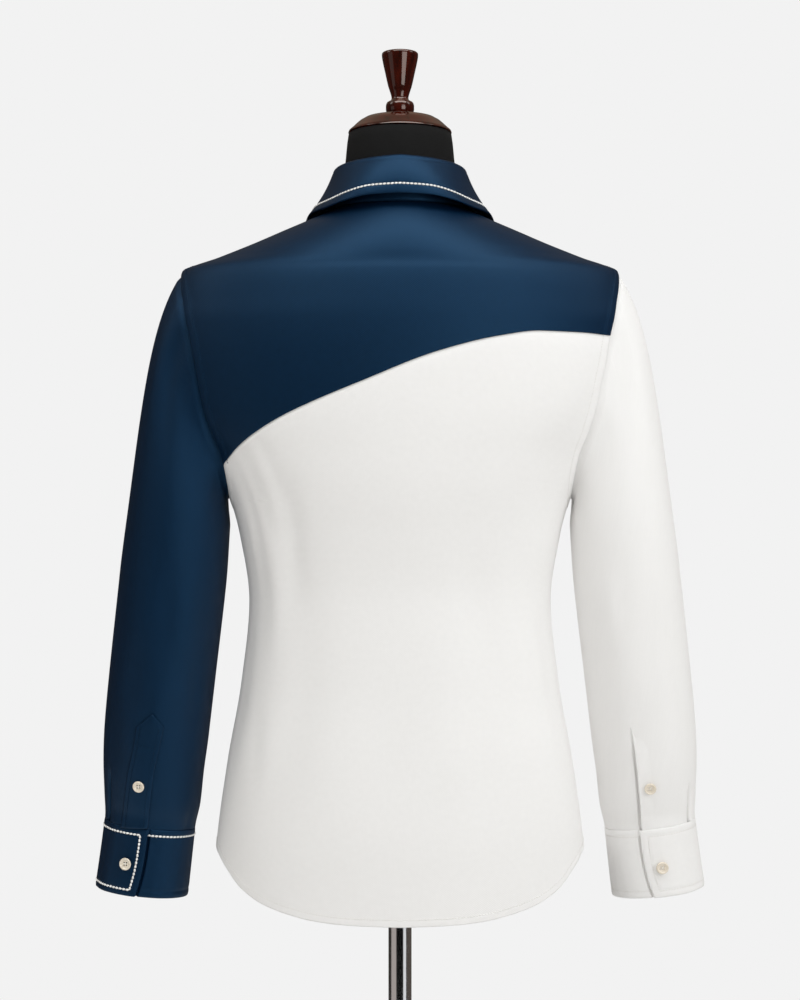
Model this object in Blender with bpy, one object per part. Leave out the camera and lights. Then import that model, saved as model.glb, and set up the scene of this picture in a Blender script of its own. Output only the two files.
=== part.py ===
"""A long-sleeved shirt jacket worn by a limbless dress form on a round stand.

Frame: metres, +Z up, origin on the floor under the middle of the stand. The garment's front
faces -Y and its back +Y, so the wearer's left is +X.

How it is made
- The cloth of the body follows one smooth surface, torso(angle, z). Its level sections are
  rounded ovals from the table SECTIONS. The angle runs from 0 at centre back through 90 at the
  wearer's left side to 180 at centre front; the wearer's right side has negative angles.
- Yoke, back and fronts are patches of that surface. Neighbours take their edge points from the
  same curves, so they meet with an even seam gap.
- The sleeves are lofted from the armhole to a ring under the arm, and run on through the rings
  of the table ARM_RINGS. Their turn is 0 on the outer side, 90 at the back and 180 inside.
- wall() gives every patch its thickness.
"""

import math
from collections import namedtuple

import bmesh
import bpy
import numpy as np

MM = 0.001

# ---------------------------------------------------------------- driving dimensions
CLOTH = 1.2 * MM            # wall of the shell cloth
BAND = 1.6 * MM             # wall of collar and cuffs, which are cut double
SKIN = 1.0 * MM             # wall of plackets that lie on a panel
SEAM = 0.3 * MM             # gap between pieces at a seam
LIE = 0.5 * MM              # gap under what lies on a panel
SLIT_LIE = 0.9 * MM         # gap under a sleeve's placket

TIP_Z = 1.387               # shoulder tip, where the armhole is highest
ARMPIT_Z = 1.150            # lowest point of the armhole
ARMHOLE_BACK = 30.0         # degrees that the armhole cuts into the back at mid height
ARMHOLE_FRONT = 30.0        # and into the front
NECK_HALF = 0.067           # neck seam seen from above: half width
NECK_BACK = 0.068           # its depth behind the middle
NECK_FRONT = 0.070          # and in front of it

BAND_EDGE = 0.017           # the fronts run this far past centre front
RAMP_FROM = 0.042           # the upper front starts to rise here
RAMP_TO = 0.020             # and is clear of the lower one here

BICEPS_Z = 1.128            # level of the first full sleeve ring
CUFF_TOP_Z = 0.812
CUFF_END_Z = 0.7415
ARM_TILT = 6.8              # degrees that the sleeve rings lean
CUFF_LAP = 30.0             # degrees that a cuff laps over itself

FORM_BOTTOM_Z = 0.815
NECK_TOP_Z = 1.5306
BASE_RADIUS = 0.170
POST_RADIUS = 0.012

Section = namedtuple("Section", "z half back front full")
SECTIONS = [
    Section(0.700, 0.1960, 0.1120, 0.1060, 0.10),
    Section(0.793, 0.1905, 0.1120, 0.1060, 0.10),
    Section(0.880, 0.1790, 0.1060, 0.1040, 0.10),
    Section(0.963, 0.1645, 0.0970, 0.1010, 0.10),
    Section(1.046, 0.1565, 0.0940, 0.1010, 0.08),
    Section(1.113, 0.1660, 0.1010, 0.1050, 0.06),
    Section(1.150, 0.1760, 0.1070, 0.1080, 0.05),
    Section(1.175, 0.1870, 0.1100, 0.1095, 0.04),
    Section(1.200, 0.2005, 0.1120, 0.1100, 0.02),
    Section(1.220, 0.2145, 0.1135, 0.1100, 0.01),
    Section(1.245, 0.2275, 0.1145, 0.1090, 0.00),
    Section(1.270, 0.2345, 0.1145, 0.1065, 0.00),
    Section(1.300, 0.2390, 0.1135, 0.1000, 0.00),
    Section(1.330, 0.2395, 0.1110, 0.0900, -0.02),
    Section(1.355, 0.2360, 0.1070, 0.0795, -0.06),
    Section(1.379, 0.2292, 0.1020, 0.0700, -0.10),
    Section(1.387, 0.2243, 0.0995, 0.0655, -0.12),
    Section(1.400, 0.1900, 0.0965, 0.0588, -0.14),
    Section(1.414, 0.1545, 0.0920, 0.0515, -0.14),
    Section(1.428, 0.1215, 0.0855, 0.0440, -0.12),
    Section(1.439, 0.0950, 0.0785, 0.0380, -0.09),
    Section(1.446, 0.0790, 0.0722, 0.0340, -0.06),
    Section(1.4515, 0.0670, 0.0660, 0.0310, -0.03),
    Section(1.465, 0.0400, 0.0480, 0.0230, 0.00),
]

Fold = namedtuple("Fold", "top_angle end_angle top_z end_z width depth")
FOLDS = [                   # soft troughs (depth > 0) and ridges (depth < 0)
    Fold(46.0, 49.0, 1.190, 0.900, 0.016, 0.0022),
    Fold(58.0, 62.0, 1.160, 0.860, 0.015, -0.0018),
    Fold(31.0, 43.0, 1.060, 0.790, 0.022, 0.0026),
    Fold(72.0, 74.0, 1.080, 0.820, 0.014, 0.0016),
    Fold(-48.0, -56.0, 1.270, 1.080, 0.018, 0.0024),
    Fold(-18.0, -38.0, 1.210, 0.900, 0.024, 0.0020),
    Fold(-66.0, -70.0, 1.100, 0.830, 0.015, 0.0018),
    Fold(-8.0, -22.0, 1.080, 0.780, 0.026, -0.0016),
    Fold(128.0, 134.0, 1.240, 0.860, 0.020, 0.0020),
    Fold(-124.0, -136.0, 1.230, 0.840, 0.022, 0.0022),
]

SeamPoint = namedtuple("SeamPoint", "x z")
YOKE_SEAM = [               # the swept seam between yoke and back
    SeamPoint(-0.2145, 1.3162),
    SeamPoint(-0.1816, 1.3178),
    SeamPoint(-0.1404, 1.3180),
    SeamPoint(-0.0983, 1.3121),
    SeamPoint(-0.0362, 1.2959),
    SeamPoint(0.0372, 1.2671),
    SeamPoint(0.0968, 1.2426),
    SeamPoint(0.1211, 1.2310),
    SeamPoint(0.1462, 1.2161),
    SeamPoint(0.1636, 1.2030),
    SeamPoint(0.1800, 1.1860),
]

HemPoint = namedtuple("HemPoint", "angle z")
HEM = [                     # the shirt-tail hem, the same on both sides
    HemPoint(0.0, 0.7313),
    HemPoint(16.0, 0.7327),
    HemPoint(26.0, 0.7355),
    HemPoint(35.0, 0.7405),
    HemPoint(45.0, 0.7480),
    HemPoint(55.5, 0.7600),
    HemPoint(66.5, 0.7770),
    HemPoint(78.0, 0.7890),
    HemPoint(90.0, 0.7930),
    HemPoint(102.0, 0.7890),
    HemPoint(114.0, 0.7790),
    HemPoint(130.0, 0.7620),
    HemPoint(150.0, 0.7490),
    HemPoint(180.0, 0.7440),
]

ArmRing = namedtuple("ArmRing", "z x half_width half_depth y")
ARM_RINGS = [
    ArmRing(0.7300, 0.2727, 0.0486, 0.0380, -0.0195),
    ArmRing(0.7415, 0.2711, 0.0484, 0.0380, -0.0190),
    ArmRing(0.8120, 0.2621, 0.0474, 0.0390, -0.0170),
    ArmRing(0.8380, 0.2594, 0.0503, 0.0450, -0.0155),
    ArmRing(0.8692, 0.2579, 0.0524, 0.0495, -0.0130),
    ArmRing(0.9129, 0.2539, 0.0545, 0.0535, -0.0100),
    ArmRing(0.9670, 0.2478, 0.0550, 0.0565, -0.0060),
    ArmRing(1.0668, 0.2361, 0.0553, 0.0595, -0.0010),
    ArmRing(1.1280, 0.2300, 0.0535, 0.0600, 0.0000),
    ArmRing(1.1400, 0.2288, 0.0530, 0.0600, 0.0000),
]

LeafPoint = namedtuple("LeafPoint", "angle x y z")
LEAF_EDGE = [               # lower edge of the collar leaf, centre back to collar point
    LeafPoint(0.0, 0.0000, 0.0830, 1.4560),
    LeafPoint(20.0, 0.0295, 0.0805, 1.4547),
    LeafPoint(40.0, 0.0560, 0.0700, 1.4505),
    LeafPoint(60.0, 0.0775, 0.0470, 1.4462),
    LeafPoint(80.0, 0.0935, 0.0140, 1.4452),
    LeafPoint(90.0, 0.0970, -0.0030, 1.4434),
    LeafPoint(100.0, 0.1003, -0.0230, 1.4355),
    LeafPoint(120.0, 0.0955, -0.0540, 1.3980),
    LeafPoint(140.0, 0.0800, -0.0722, 1.3720),
    LeafPoint(168.0, 0.0520, -0.0862, 1.3450),
]

SlitPoint = namedtuple("SlitPoint", "z inner_x outer_x")
TOWER_PLACKET = [           # left sleeve: a pointed strip stitched over the slit
    SlitPoint(0.8155, 0.2583, 0.2860),
    SlitPoint(0.8380, 0.2560, 0.2835),
    SlitPoint(0.8720, 0.2510, 0.2778),
    SlitPoint(0.9020, 0.2440, 0.2705),
    SlitPoint(0.9205, 0.2398, 0.2680),
    SlitPoint(0.9320, 0.2500, 0.2522),
]
PLAIN_PLACKET = [           # right sleeve: the lapping edge of the slit
    SlitPoint(0.8155, 0.2485, 0.2700),
    SlitPoint(0.8380, 0.2460, 0.2675),
    SlitPoint(0.8720, 0.2425, 0.2640),
    SlitPoint(0.9020, 0.2385, 0.2600),
    SlitPoint(0.9190, 0.2350, 0.2570),
]

ButtonPlace = namedtuple("ButtonPlace", "name side x z radius lift")
SLEEVE_BUTTONS = [
    ButtonPlace("button_cuff_left", 1, 0.2808, 0.7762, 0.0063, 0.0),
    ButtonPlace("button_sleeve_left", 1, 0.2663, 0.8580, 0.0060, SKIN + SLIT_LIE),
    ButtonPlace("button_cuff_right", -1, 0.2690, 0.7726, 0.0063, 0.0),
    ButtonPlace("button_sleeve_right", -1, 0.2555, 0.8558, 0.0060, SKIN + SLIT_LIE),
]
FRONT_BUTTON_RADIUS = 0.0060
FRONT_BUTTON_ZS = [1.352, 1.262, 1.177, 1.092, 1.007, 0.922, 0.837]
BUTTON_HEIGHT = 3.0 * MM

ProfilePoint = namedtuple("ProfilePoint", "radius z")
NECK_CAP = [                # turned wood, from the neck up
    ProfilePoint(0.0535, 1.5309),
    ProfilePoint(0.0543, 1.5326),
    ProfilePoint(0.0530, 1.5343),
    ProfilePoint(0.0480, 1.5374),
    ProfilePoint(0.0415, 1.5418),
    ProfilePoint(0.0378, 1.5442),
    ProfilePoint(0.0360, 1.5460),
    ProfilePoint(0.0280, 1.5477),
    ProfilePoint(0.0160, 1.5488),
]
FINIAL = [                  # bead, waist, cone and flat top
    ProfilePoint(0.0115, 1.5491),
    ProfilePoint(0.0143, 1.5535),
    ProfilePoint(0.0148, 1.5592),
    ProfilePoint(0.0138, 1.5630),
    ProfilePoint(0.0095, 1.5655),
    ProfilePoint(0.0093, 1.5690),
    ProfilePoint(0.0125, 1.5800),
    ProfilePoint(0.0156, 1.5940),
    ProfilePoint(0.0183, 1.6075),
    ProfilePoint(0.0188, 1.6110),
    ProfilePoint(0.0182, 1.6140),
    ProfilePoint(0.0150, 1.6158),
]
BASE = [                    # a low turned plate with a collar for the post
    ProfilePoint(BASE_RADIUS - 0.002, 0.0),
    ProfilePoint(BASE_RADIUS, 0.002),
    ProfilePoint(BASE_RADIUS, 0.007),
    ProfilePoint(BASE_RADIUS - 0.003, 0.010),
    ProfilePoint(0.060, 0.014),
    ProfilePoint(0.024, 0.019),
    ProfilePoint(0.021, 0.045),
    ProfilePoint(0.019, 0.047),
]
POST_FOOT_Z = 0.0473        # the post stands on the base's collar

# grid counts
BACK_COLUMNS = 16
FRONT_COLUMNS = 8
NECK_ROWS = 5
SIDE_ROWS = 9
CAP_ROWS = 6
ARM_ROWS = 8
CUFF_STEP = 15.0
COLLAR_STEP = 12.0          # degrees between the collar's columns
FORM_COLUMNS = 32

Finish = namedtuple("Finish", "colour roughness metallic")
NAVY = Finish((0.014, 0.045, 0.105), 0.70, 0.0)
WHITE = Finish((0.83, 0.82, 0.80), 0.75, 0.0)
IVORY = Finish((0.80, 0.74, 0.62), 0.30, 0.0)
BLACK_JERSEY = Finish((0.010, 0.010, 0.011), 0.85, 0.0)
MAHOGANY = Finish((0.045, 0.008, 0.004), 0.12, 0.0)
CHROME = Finish((0.80, 0.80, 0.81), 0.10, 1.0)


# ---------------------------------------------------------------- small mathematics
def curve(xs, ys):
    """A monotone cubic through the points, held at both ends."""
    xs = np.array(xs, dtype=float)
    ys = np.array(ys, dtype=float)
    steps = np.diff(xs)
    slopes = np.diff(ys) / steps
    tangents = np.zeros(len(xs))
    tangents[0] = slopes[0]
    tangents[-1] = slopes[-1]
    for i in range(1, len(xs) - 1):
        if slopes[i - 1] * slopes[i] > 0.0:
            before = 2.0 * steps[i] + steps[i - 1]
            after = steps[i] + 2.0 * steps[i - 1]
            tangents[i] = (before + after) / (before / slopes[i - 1] + after / slopes[i])

    def at(x):
        x = min(max(x, xs[0]), xs[-1])
        i = min(max(int(np.searchsorted(xs, x)) - 1, 0), len(steps) - 1)
        h = steps[i]
        t = (x - xs[i]) / h
        start = (1.0 + 2.0 * t) * (1.0 - t) ** 2 * ys[i] + t * (1.0 - t) ** 2 * h * tangents[i]
        end = t * t * (3.0 - 2.0 * t) * ys[i + 1] + t * t * (t - 1.0) * h * tangents[i + 1]
        return float(start + end)

    return at


def column_curve(table, key, value):
    """The curve of one named column of a table over another."""
    return curve([getattr(row, key) for row in table], [getattr(row, value) for row in table])


def unit(vector):
    return vector / np.linalg.norm(vector)


def lerp(a, b, t):
    return a + (b - a) * t


def smooth_step(x, low, high):
    """0 at low, 1 at high, with no slope at either."""
    t = min(max((x - low) / (high - low), 0.0), 1.0)
    return t * t * (3.0 - 2.0 * t)


def bisect(inside, low, high):
    """The place between low and high where inside() turns from true to false."""
    for _ in range(40):
        middle = 0.5 * (low + high)
        if inside(middle):
            low = middle
        else:
            high = middle
    return 0.5 * (low + high)


# ---------------------------------------------------------------- the body's surface
half_width = column_curve(SECTIONS, "z", "half")
back_depth = column_curve(SECTIONS, "z", "back")
front_depth = column_curve(SECTIONS, "z", "front")
fullness = column_curve(SECTIONS, "z", "full")
seam_height = column_curve(YOKE_SEAM, "x", "z")
hem_height = column_curve(HEM, "angle", "z")


def torso(angle, z):
    """A point of the smooth body surface."""
    s = math.sin(math.radians(angle))
    c = math.cos(math.radians(angle))
    depth = back_depth(z) if c >= 0.0 else front_depth(z)
    return np.array((half_width(z) * s, depth * c * (1.0 + fullness(z) * s * s), z))


def torso_normal(angle, z):
    """The outward normal of the body surface."""
    around = torso(angle + 0.5, z) - torso(angle - 0.5, z)
    up = torso(angle, z + 0.5 * MM) - torso(angle, z - 0.5 * MM)
    return unit(np.cross(up, around))


BODY_RADIUS = 0.15          # turns degrees round the body into metres, for the folds' widths


def fold_depth(angle, z):
    """How far the soft folds push the cloth out here."""
    out = 0.0
    for fold in FOLDS:
        along = (fold.top_z - z) / (fold.top_z - fold.end_z)
        if 0.0 < along < 1.0:
            middle = lerp(fold.top_angle, fold.end_angle, along)
            off = math.radians(angle - middle) * BODY_RADIUS / fold.width
            out -= fold.depth * math.exp(-off * off) * math.sin(math.pi * along) ** 2
    return out


def cloth(angle, z, lift=0.0):
    """Outer point of the cloth and its normal."""
    normal = torso_normal(angle, z)
    return torso(angle, z) + normal * (fold_depth(angle, z) + lift), normal


# ---------------------------------------------------------------- seams on the body
ARMHOLE_MID_Z = 0.5 * (TIP_Z + ARMPIT_Z)
ARMHOLE_HALF_Z = 0.5 * (TIP_Z - ARMPIT_Z)
BODY_GROW_Z = SEAM          # the body's armhole is this much larger than the sleeve's
BODY_GROW_ANGLE = 0.12      # the same gap, in degrees


def armhole_phase(z):
    """Phase of the armhole oval at a height: 0 at the armpit, 180 at the tip."""
    return math.degrees(math.acos((ARMHOLE_MID_Z - z) / ARMHOLE_HALF_Z))


def seam_corner_phase(side):
    """Phase where the yoke seam meets the armhole of one side."""
    def below(z):
        cut = ARMHOLE_BACK * math.sin(math.radians(armhole_phase(z)))
        return z < seam_height(torso(side * (90.0 - cut), z)[0])
    return armhole_phase(bisect(below, ARMPIT_Z, TIP_Z))


ARMHOLE_PARTS = 4           # steps from armpit to left corner, to right corner, to tip
corner_left = seam_corner_phase(1)
corner_right = seam_corner_phase(-1)
PHASE_STOPS = [0.0, corner_left, corner_right, 180.0]
ARMHOLE_STEPS = 3 * ARMHOLE_PARTS


def phase(step):
    """Phase of the armhole at a step, which may lie between two whole ones."""
    part = min(int(step // ARMHOLE_PARTS), 2)
    within = (step - part * ARMHOLE_PARTS) / ARMHOLE_PARTS
    return lerp(PHASE_STOPS[part], PHASE_STOPS[part + 1], within)


def body_armhole(step, side, front=False):
    """Angle and height of the body's armhole edge at a step."""
    turn = math.radians(phase(step))
    cut = (ARMHOLE_FRONT if front else ARMHOLE_BACK) + BODY_GROW_ANGLE
    z = ARMHOLE_MID_Z - (ARMHOLE_HALF_Z + BODY_GROW_Z) * math.cos(turn)
    off = cut * math.sin(turn)
    return side * (90.0 + off if front else 90.0 - off), z


def body_edge(z, front=False):
    """Angle of the body's side or armhole edge at any height."""
    level = (z - ARMHOLE_MID_Z) / (ARMHOLE_HALF_Z + BODY_GROW_Z)
    if abs(level) >= 1.0:
        return 90.0
    cut = (ARMHOLE_FRONT if front else ARMHOLE_BACK) + BODY_GROW_ANGLE
    off = cut * math.sqrt(1.0 - level * level)
    return 90.0 + off if front else 90.0 - off


def neck_depth(y):
    return NECK_BACK if y >= 0.0 else NECK_FRONT


def neck_end(angle_at, low):
    """Height at which a column of the surface meets the neck seam."""
    def outside(z):
        x, y, _ = torso(angle_at(z), z)
        return (x / NECK_HALF) ** 2 + (y / neck_depth(y)) ** 2 > 1.0
    return bisect(outside, low, SECTIONS[-1].z)


def neck_point(angle):
    """The neck seam at an angle seen from above."""
    x = NECK_HALF * math.sin(math.radians(angle))
    c = math.cos(math.radians(angle))
    y = neck_depth(c) * c

    def inside(z):
        s = abs(x) / half_width(z)
        if s >= 1.0:
            return False
        depth = back_depth(z) if y >= 0.0 else front_depth(z)
        return depth * math.sqrt(1.0 - s * s) * (1.0 + fullness(z) * s * s) > abs(y)

    return np.array((x, y, bisect(inside, ARMPIT_Z, SECTIONS[-1].z)))


# ---------------------------------------------------------------- solids
def make_material(name, finish):
    material = bpy.data.materials.get(name)
    if material is None:
        material = bpy.data.materials.new(name)
        material.use_nodes = True
        shader = material.node_tree.nodes["Principled BSDF"]
        shader.inputs["Base Color"].default_value = (*finish.colour, 1.0)
        shader.inputs["Roughness"].default_value = finish.roughness
        shader.inputs["Metallic"].default_value = finish.metallic
    return material


SHARP = 40.0                # degrees over which an edge is drawn sharp


def add_object(name, points, faces, finish):
    """One closed solid, its faces turned outward."""
    mesh = bpy.data.meshes.new(name)
    mesh.from_pydata([tuple(point) for point in points], [], faces)
    solid = bmesh.new()
    solid.from_mesh(mesh)
    bmesh.ops.recalc_face_normals(solid, faces=solid.faces)
    if solid.calc_volume(signed=True) < 0.0:
        bmesh.ops.reverse_faces(solid, faces=solid.faces)
    solid.to_mesh(mesh)
    solid.free()
    mesh.shade_smooth()
    mesh.set_sharp_from_angle(angle=math.radians(SHARP))
    mesh.materials.append(make_material(name + " finish", finish))
    thing = bpy.data.objects.new(name, mesh)
    bpy.context.scene.collection.objects.link(thing)


def triangles(points, quad):
    """The quad cut along its shorter diagonal."""
    a, b, c, d = quad
    if np.linalg.norm(points[a] - points[c]) <= np.linalg.norm(points[b] - points[d]):
        return [(a, b, c), (a, c, d)]
    return [(a, b, d), (b, c, d)]


def wall(name, outer, inner, quads, finish):
    """A patch with thickness: outer skin, inner skin and the rim between them."""
    count = len(outer)
    faces = []
    for quad in quads:
        for a, b, c in triangles(outer, quad):
            faces.append((a, b, c))
            faces.append((c + count, b + count, a + count))
    edges = set()
    for quad in quads:
        edges.update(zip(quad, quad[1:] + quad[:1]))
    for a, b in sorted(edges):
        if (b, a) not in edges:
            faces.append((b, a, a + count, b + count))
    add_object(name, list(outer) + list(inner), faces, finish)


class Patch:
    """Outer points, inner points and quads of one piece of cloth."""

    def __init__(self, thickness):
        self.thickness = thickness
        self.index = {}
        self.outer = []
        self.inner = []
        self.quads = []

    def put(self, key, point, inward):
        """A point under a key, with the direction in which the wall goes."""
        self.index[key] = len(self.outer)
        self.outer.append(point)
        self.inner.append(point + inward * self.thickness)

    def fill(self, keys):
        """Quads over a grid of keys."""
        for upper, lower in zip(keys, keys[1:]):
            for k in range(len(upper) - 1):
                corners = (upper[k], upper[k + 1], lower[k + 1], lower[k])
                self.quads.append(tuple(self.index[corner] for corner in corners))

    def build(self, name, finish):
        wall(name, self.outer, self.inner, self.quads, finish)


def grid_patch(name, rows, thickness, finish, closed=False):
    """A piece from rows of (point, inward) pairs; closed rows join end to start."""
    patch = Patch(thickness)
    keys = []
    for r, row in enumerate(rows):
        for c, (point, inward) in enumerate(row):
            patch.put((r, c), point, inward)
        line = [(r, c) for c in range(len(row))]
        keys.append(line + line[:1] if closed else line)
    patch.fill(keys)
    patch.build(name, finish)


def add_tube(name, rings, finish):
    """A closed solid from rings of points, bottom to top."""
    sides = len(rings[0])
    points = [point for ring in rings for point in ring]
    faces = [tuple(range(sides))]
    for r in range(len(rings) - 1):
        for k in range(sides):
            a = r * sides + k
            b = r * sides + (k + 1) % sides
            faces.append((a, b, b + sides, a + sides))
    faces.append(tuple(range((len(rings) - 1) * sides, len(rings) * sides)))
    add_object(name, points, faces, finish)


# ---------------------------------------------------------------- body panels
def column_position(column):
    """-1 at the right edge to +1 at the left one."""
    return lerp(-1.0, 1.0, column / BACK_COLUMNS)


SIDE_RADIUS = 0.105         # of the body's section beside the side seam
SIDE_GAP_ANGLE = math.degrees(0.5 * SEAM / SIDE_RADIUS)


def back_angle(position, z):
    return position * (body_edge(z) - SIDE_GAP_ANGLE)


def yoke_seam_end(position):
    """Height at which a back column meets the yoke seam."""
    def below(z):
        return z < seam_height(torso(back_angle(position, z), z)[0])
    return bisect(below, ARMPIT_Z, TIP_Z)


def armhole_fraction(row, rows, side, first, last, low, high):
    """How far up its column an armhole row lies, between the heights low and high."""
    _, z = body_armhole(lerp(first, last, row / rows), side)
    return min(max((z - low) / (high - low), 0.0), 1.0)


def make_back():
    armpit = ARMHOLE_MID_Z - ARMHOLE_HALF_Z - BODY_GROW_Z
    upper_rows = 2 * ARMHOLE_PARTS
    tops = [yoke_seam_end(column_position(c)) - 0.7 * SEAM for c in range(BACK_COLUMNS + 1)]
    rows = []
    for r in range(SIDE_ROWS):
        row = []
        for c in range(BACK_COLUMNS + 1):
            position = column_position(c)
            hem = hem_height(abs(position) * 90.0)
            z = lerp(hem, armpit, r / SIDE_ROWS)
            point, normal = cloth(back_angle(position, z), z)
            row.append((point, -normal))
        rows.append(row)
    for r in range(upper_rows + 1):
        left = armhole_fraction(r, upper_rows, 1, 0, ARMHOLE_PARTS, armpit, tops[-1])
        right = armhole_fraction(r, upper_rows, -1, 0, 2 * ARMHOLE_PARTS, armpit, tops[0])
        row = []
        for c in range(BACK_COLUMNS + 1):
            position = column_position(c)
            fraction = lerp(right, left, c / BACK_COLUMNS)
            z = tops[c] if r == upper_rows else lerp(armpit, tops[c], fraction)
            point, normal = cloth(back_angle(position, z), z)
            row.append((point, -normal))
        rows.append(row)
    grid_patch("back", rows, CLOTH, WHITE)


FRONT_CORNER_STEP = ARMHOLE_STEPS - 2      # the yoke's front seam meets the armhole here
FRONT_NECK_ANGLE = 115.0                   # and the neck here
RIDGE_Z = ARMHOLE_MID_Z + ARMHOLE_HALF_Z + BODY_GROW_Z


def yoke_front_angle(z, step=FRONT_CORNER_STEP, neck_angle=FRONT_NECK_ANGLE):
    """Angle of the yoke's front seam, or of a column between it and the ridge."""
    angle, low = body_armhole(step, 1, front=True)
    return lerp(angle, neck_angle, min(max((z - low) / (SECTIONS[-3].z - low), 0.0), 1.0))


def neck_rows(low, top, keep_ridge=1.0):
    """Heights up a column to the neck; one row stays at the shoulder tip's level."""
    even = 1.0 / NECK_ROWS
    ridge = (RIDGE_Z - low) / (top - low) if low < RIDGE_Z - MM else even
    first = lerp(even, ridge, keep_ridge)
    shares = [0.0] + [lerp(first, 1.0, r / (NECK_ROWS - 1)) for r in range(NECK_ROWS)]
    return [lerp(low, top, share) for share in shares]


def make_yoke():
    patch = Patch(CLOTH)
    lower_rows = 2 * ARMHOLE_PARTS
    bottoms = [yoke_seam_end(column_position(c)) + 0.7 * SEAM for c in range(BACK_COLUMNS + 1)]

    def put(key, angle, z):
        point, normal = cloth(angle, z)
        patch.put(key, point, -normal)

    for r in range(lower_rows + 1):
        low, high = bottoms, RIDGE_Z
        left = armhole_fraction(r, lower_rows, 1, ARMHOLE_PARTS, ARMHOLE_STEPS, low[-1], high)
        right = armhole_fraction(r, lower_rows, -1, 2 * ARMHOLE_PARTS, ARMHOLE_STEPS, low[0], high)
        for c in range(BACK_COLUMNS + 1):
            position = column_position(c)
            fraction = 0.0 if r == 0 else lerp(right, left, c / BACK_COLUMNS)
            z = lerp(bottoms[c], RIDGE_Z, fraction)
            put((r, c), position * body_edge(z), z)

    columns = []
    for side, step in ((-1, FRONT_CORNER_STEP), (-1, ARMHOLE_STEPS - 1)):
        columns.append((side, step))
    columns += [(0, c) for c in range(BACK_COLUMNS + 1)]
    for side, step in ((1, ARMHOLE_STEPS - 1), (1, FRONT_CORNER_STEP)):
        columns.append((side, step))

    for key, (side, c) in enumerate(columns):
        if side == 0:
            angle_at = lambda z, c=c: 90.0 * column_position(c)
            low = RIDGE_Z
        else:
            share = (ARMHOLE_STEPS - c) / (ARMHOLE_STEPS - FRONT_CORNER_STEP)
            neck_angle = lerp(90.0, FRONT_NECK_ANGLE, share)
            angle_at = lambda z, side=side, c=c, a=neck_angle: side * yoke_front_angle(z, c, a)
            low = body_armhole(c, side, front=True)[1]
        for r, z in enumerate(neck_rows(low, neck_end(angle_at, low))):
            if side == 0 and r == 0:
                patch.index[("neck", r, key)] = patch.index[(lower_rows, c)]
                continue
            put(("neck", r, key), angle_at(z), z)

    patch.fill([[(r, c) for c in range(BACK_COLUMNS + 1)] for r in range(lower_rows + 1)])
    patch.fill([[("neck", r, key) for key in range(len(columns))] for r in range(NECK_ROWS + 1)])
    patch.build("yoke", NAVY)


YOKE_SEAM_GAP_ANGLE = 0.26


def front_edge(z):
    """Angle of the front panel's outer edge: side seam, armhole, then yoke seam."""
    corner_z = body_armhole(FRONT_CORNER_STEP, 1, front=True)[1]
    if z >= corner_z:
        return yoke_front_angle(z) + YOKE_SEAM_GAP_ANGLE
    return max(body_edge(z, front=True), 90.0) + SIDE_GAP_ANGLE


def x_angle(x, z):
    """Angle on the front at which the surface has this x."""
    return 180.0 - math.degrees(math.asin(x / half_width(z)))


def front_angle(column, z):
    """Angle of a front column: fractions up to the ramp, then lines of even x."""
    inner = (RAMP_FROM, 0.5 * (RAMP_FROM + RAMP_TO), RAMP_TO, 0.0, -BAND_EDGE)
    if column <= FRONT_COLUMNS:
        return lerp(front_edge(z), x_angle(RAMP_FROM, z), column / FRONT_COLUMNS)
    return x_angle(inner[column - FRONT_COLUMNS], z)


def band_rise(x):
    """The upper front lies over the lower one near centre front."""
    return (CLOTH + LIE) * smooth_step(-x, -RAMP_FROM, -RAMP_TO)


def make_front(side):
    """One front; the left one laps over the right one."""
    armpit = ARMHOLE_MID_Z - ARMHOLE_HALF_Z - BODY_GROW_Z
    last = FRONT_COLUMNS + 4
    corner_z = body_armhole(FRONT_CORNER_STEP, 1, front=True)[1]
    heights = []
    for column in range(last + 1):
        top = neck_end(lambda z, column=column: front_angle(column, z), corner_z - 0.02)
        if side > 0:
            top -= 0.6 * band_rise(torso(front_angle(column, top), top)[0])
        hem = hem_height(front_angle(column, HEM[-1].z))
        stops = [lerp(hem, armpit, r / SIDE_ROWS) for r in range(SIDE_ROWS)]
        stops += [body_armhole(step, 1, front=True)[1] for step in range(FRONT_CORNER_STEP)]
        stops += neck_rows(corner_z, top, 1.0 - column / last)
        heights.append(stops)
    rows = []
    for r in range(len(heights[0])):
        row = []
        for column in range(last + 1):
            z = heights[column][r]
            angle = front_angle(column, z)
            rise = band_rise(torso(angle, z)[0]) if side > 0 else 0.0
            point, normal = cloth(side * angle, z, rise)
            row.append((point, -normal))
        rows.append(row)
    grid_patch("front_left" if side > 0 else "front_right", rows, CLOTH, WHITE)


def make_front_placket():
    """The button band, a strip on the left front from neck to hem."""
    widths = (BAND_EDGE, 0.006, -0.006, -BAND_EDGE)
    rise = CLOTH + LIE + LIE + SKIN
    top = min(neck_end(lambda z, x=x: x_angle(x, z), 1.35) for x in widths) - 2.0 * MM
    bottom = HEM[-1].z + 1.0 * MM
    count = 22
    rows = []
    for r in range(count + 1):
        z = lerp(bottom, top, r / count)
        row = []
        for x in widths:
            point, normal = cloth(x_angle(x, z), z, rise)
            row.append((point, -normal))
        rows.append(row)
    grid_patch("front_placket", rows, SKIN, WHITE)


# ---------------------------------------------------------------- sleeves
arm_x = column_curve(ARM_RINGS, "z", "x")
arm_y = column_curve(ARM_RINGS, "z", "y")
arm_half = column_curve(ARM_RINGS, "z", "half_width")
arm_depth = column_curve(ARM_RINGS, "z", "half_depth")
TILT_COS = math.cos(math.radians(ARM_TILT))
TILT_SIN = math.sin(math.radians(ARM_TILT))


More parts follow.
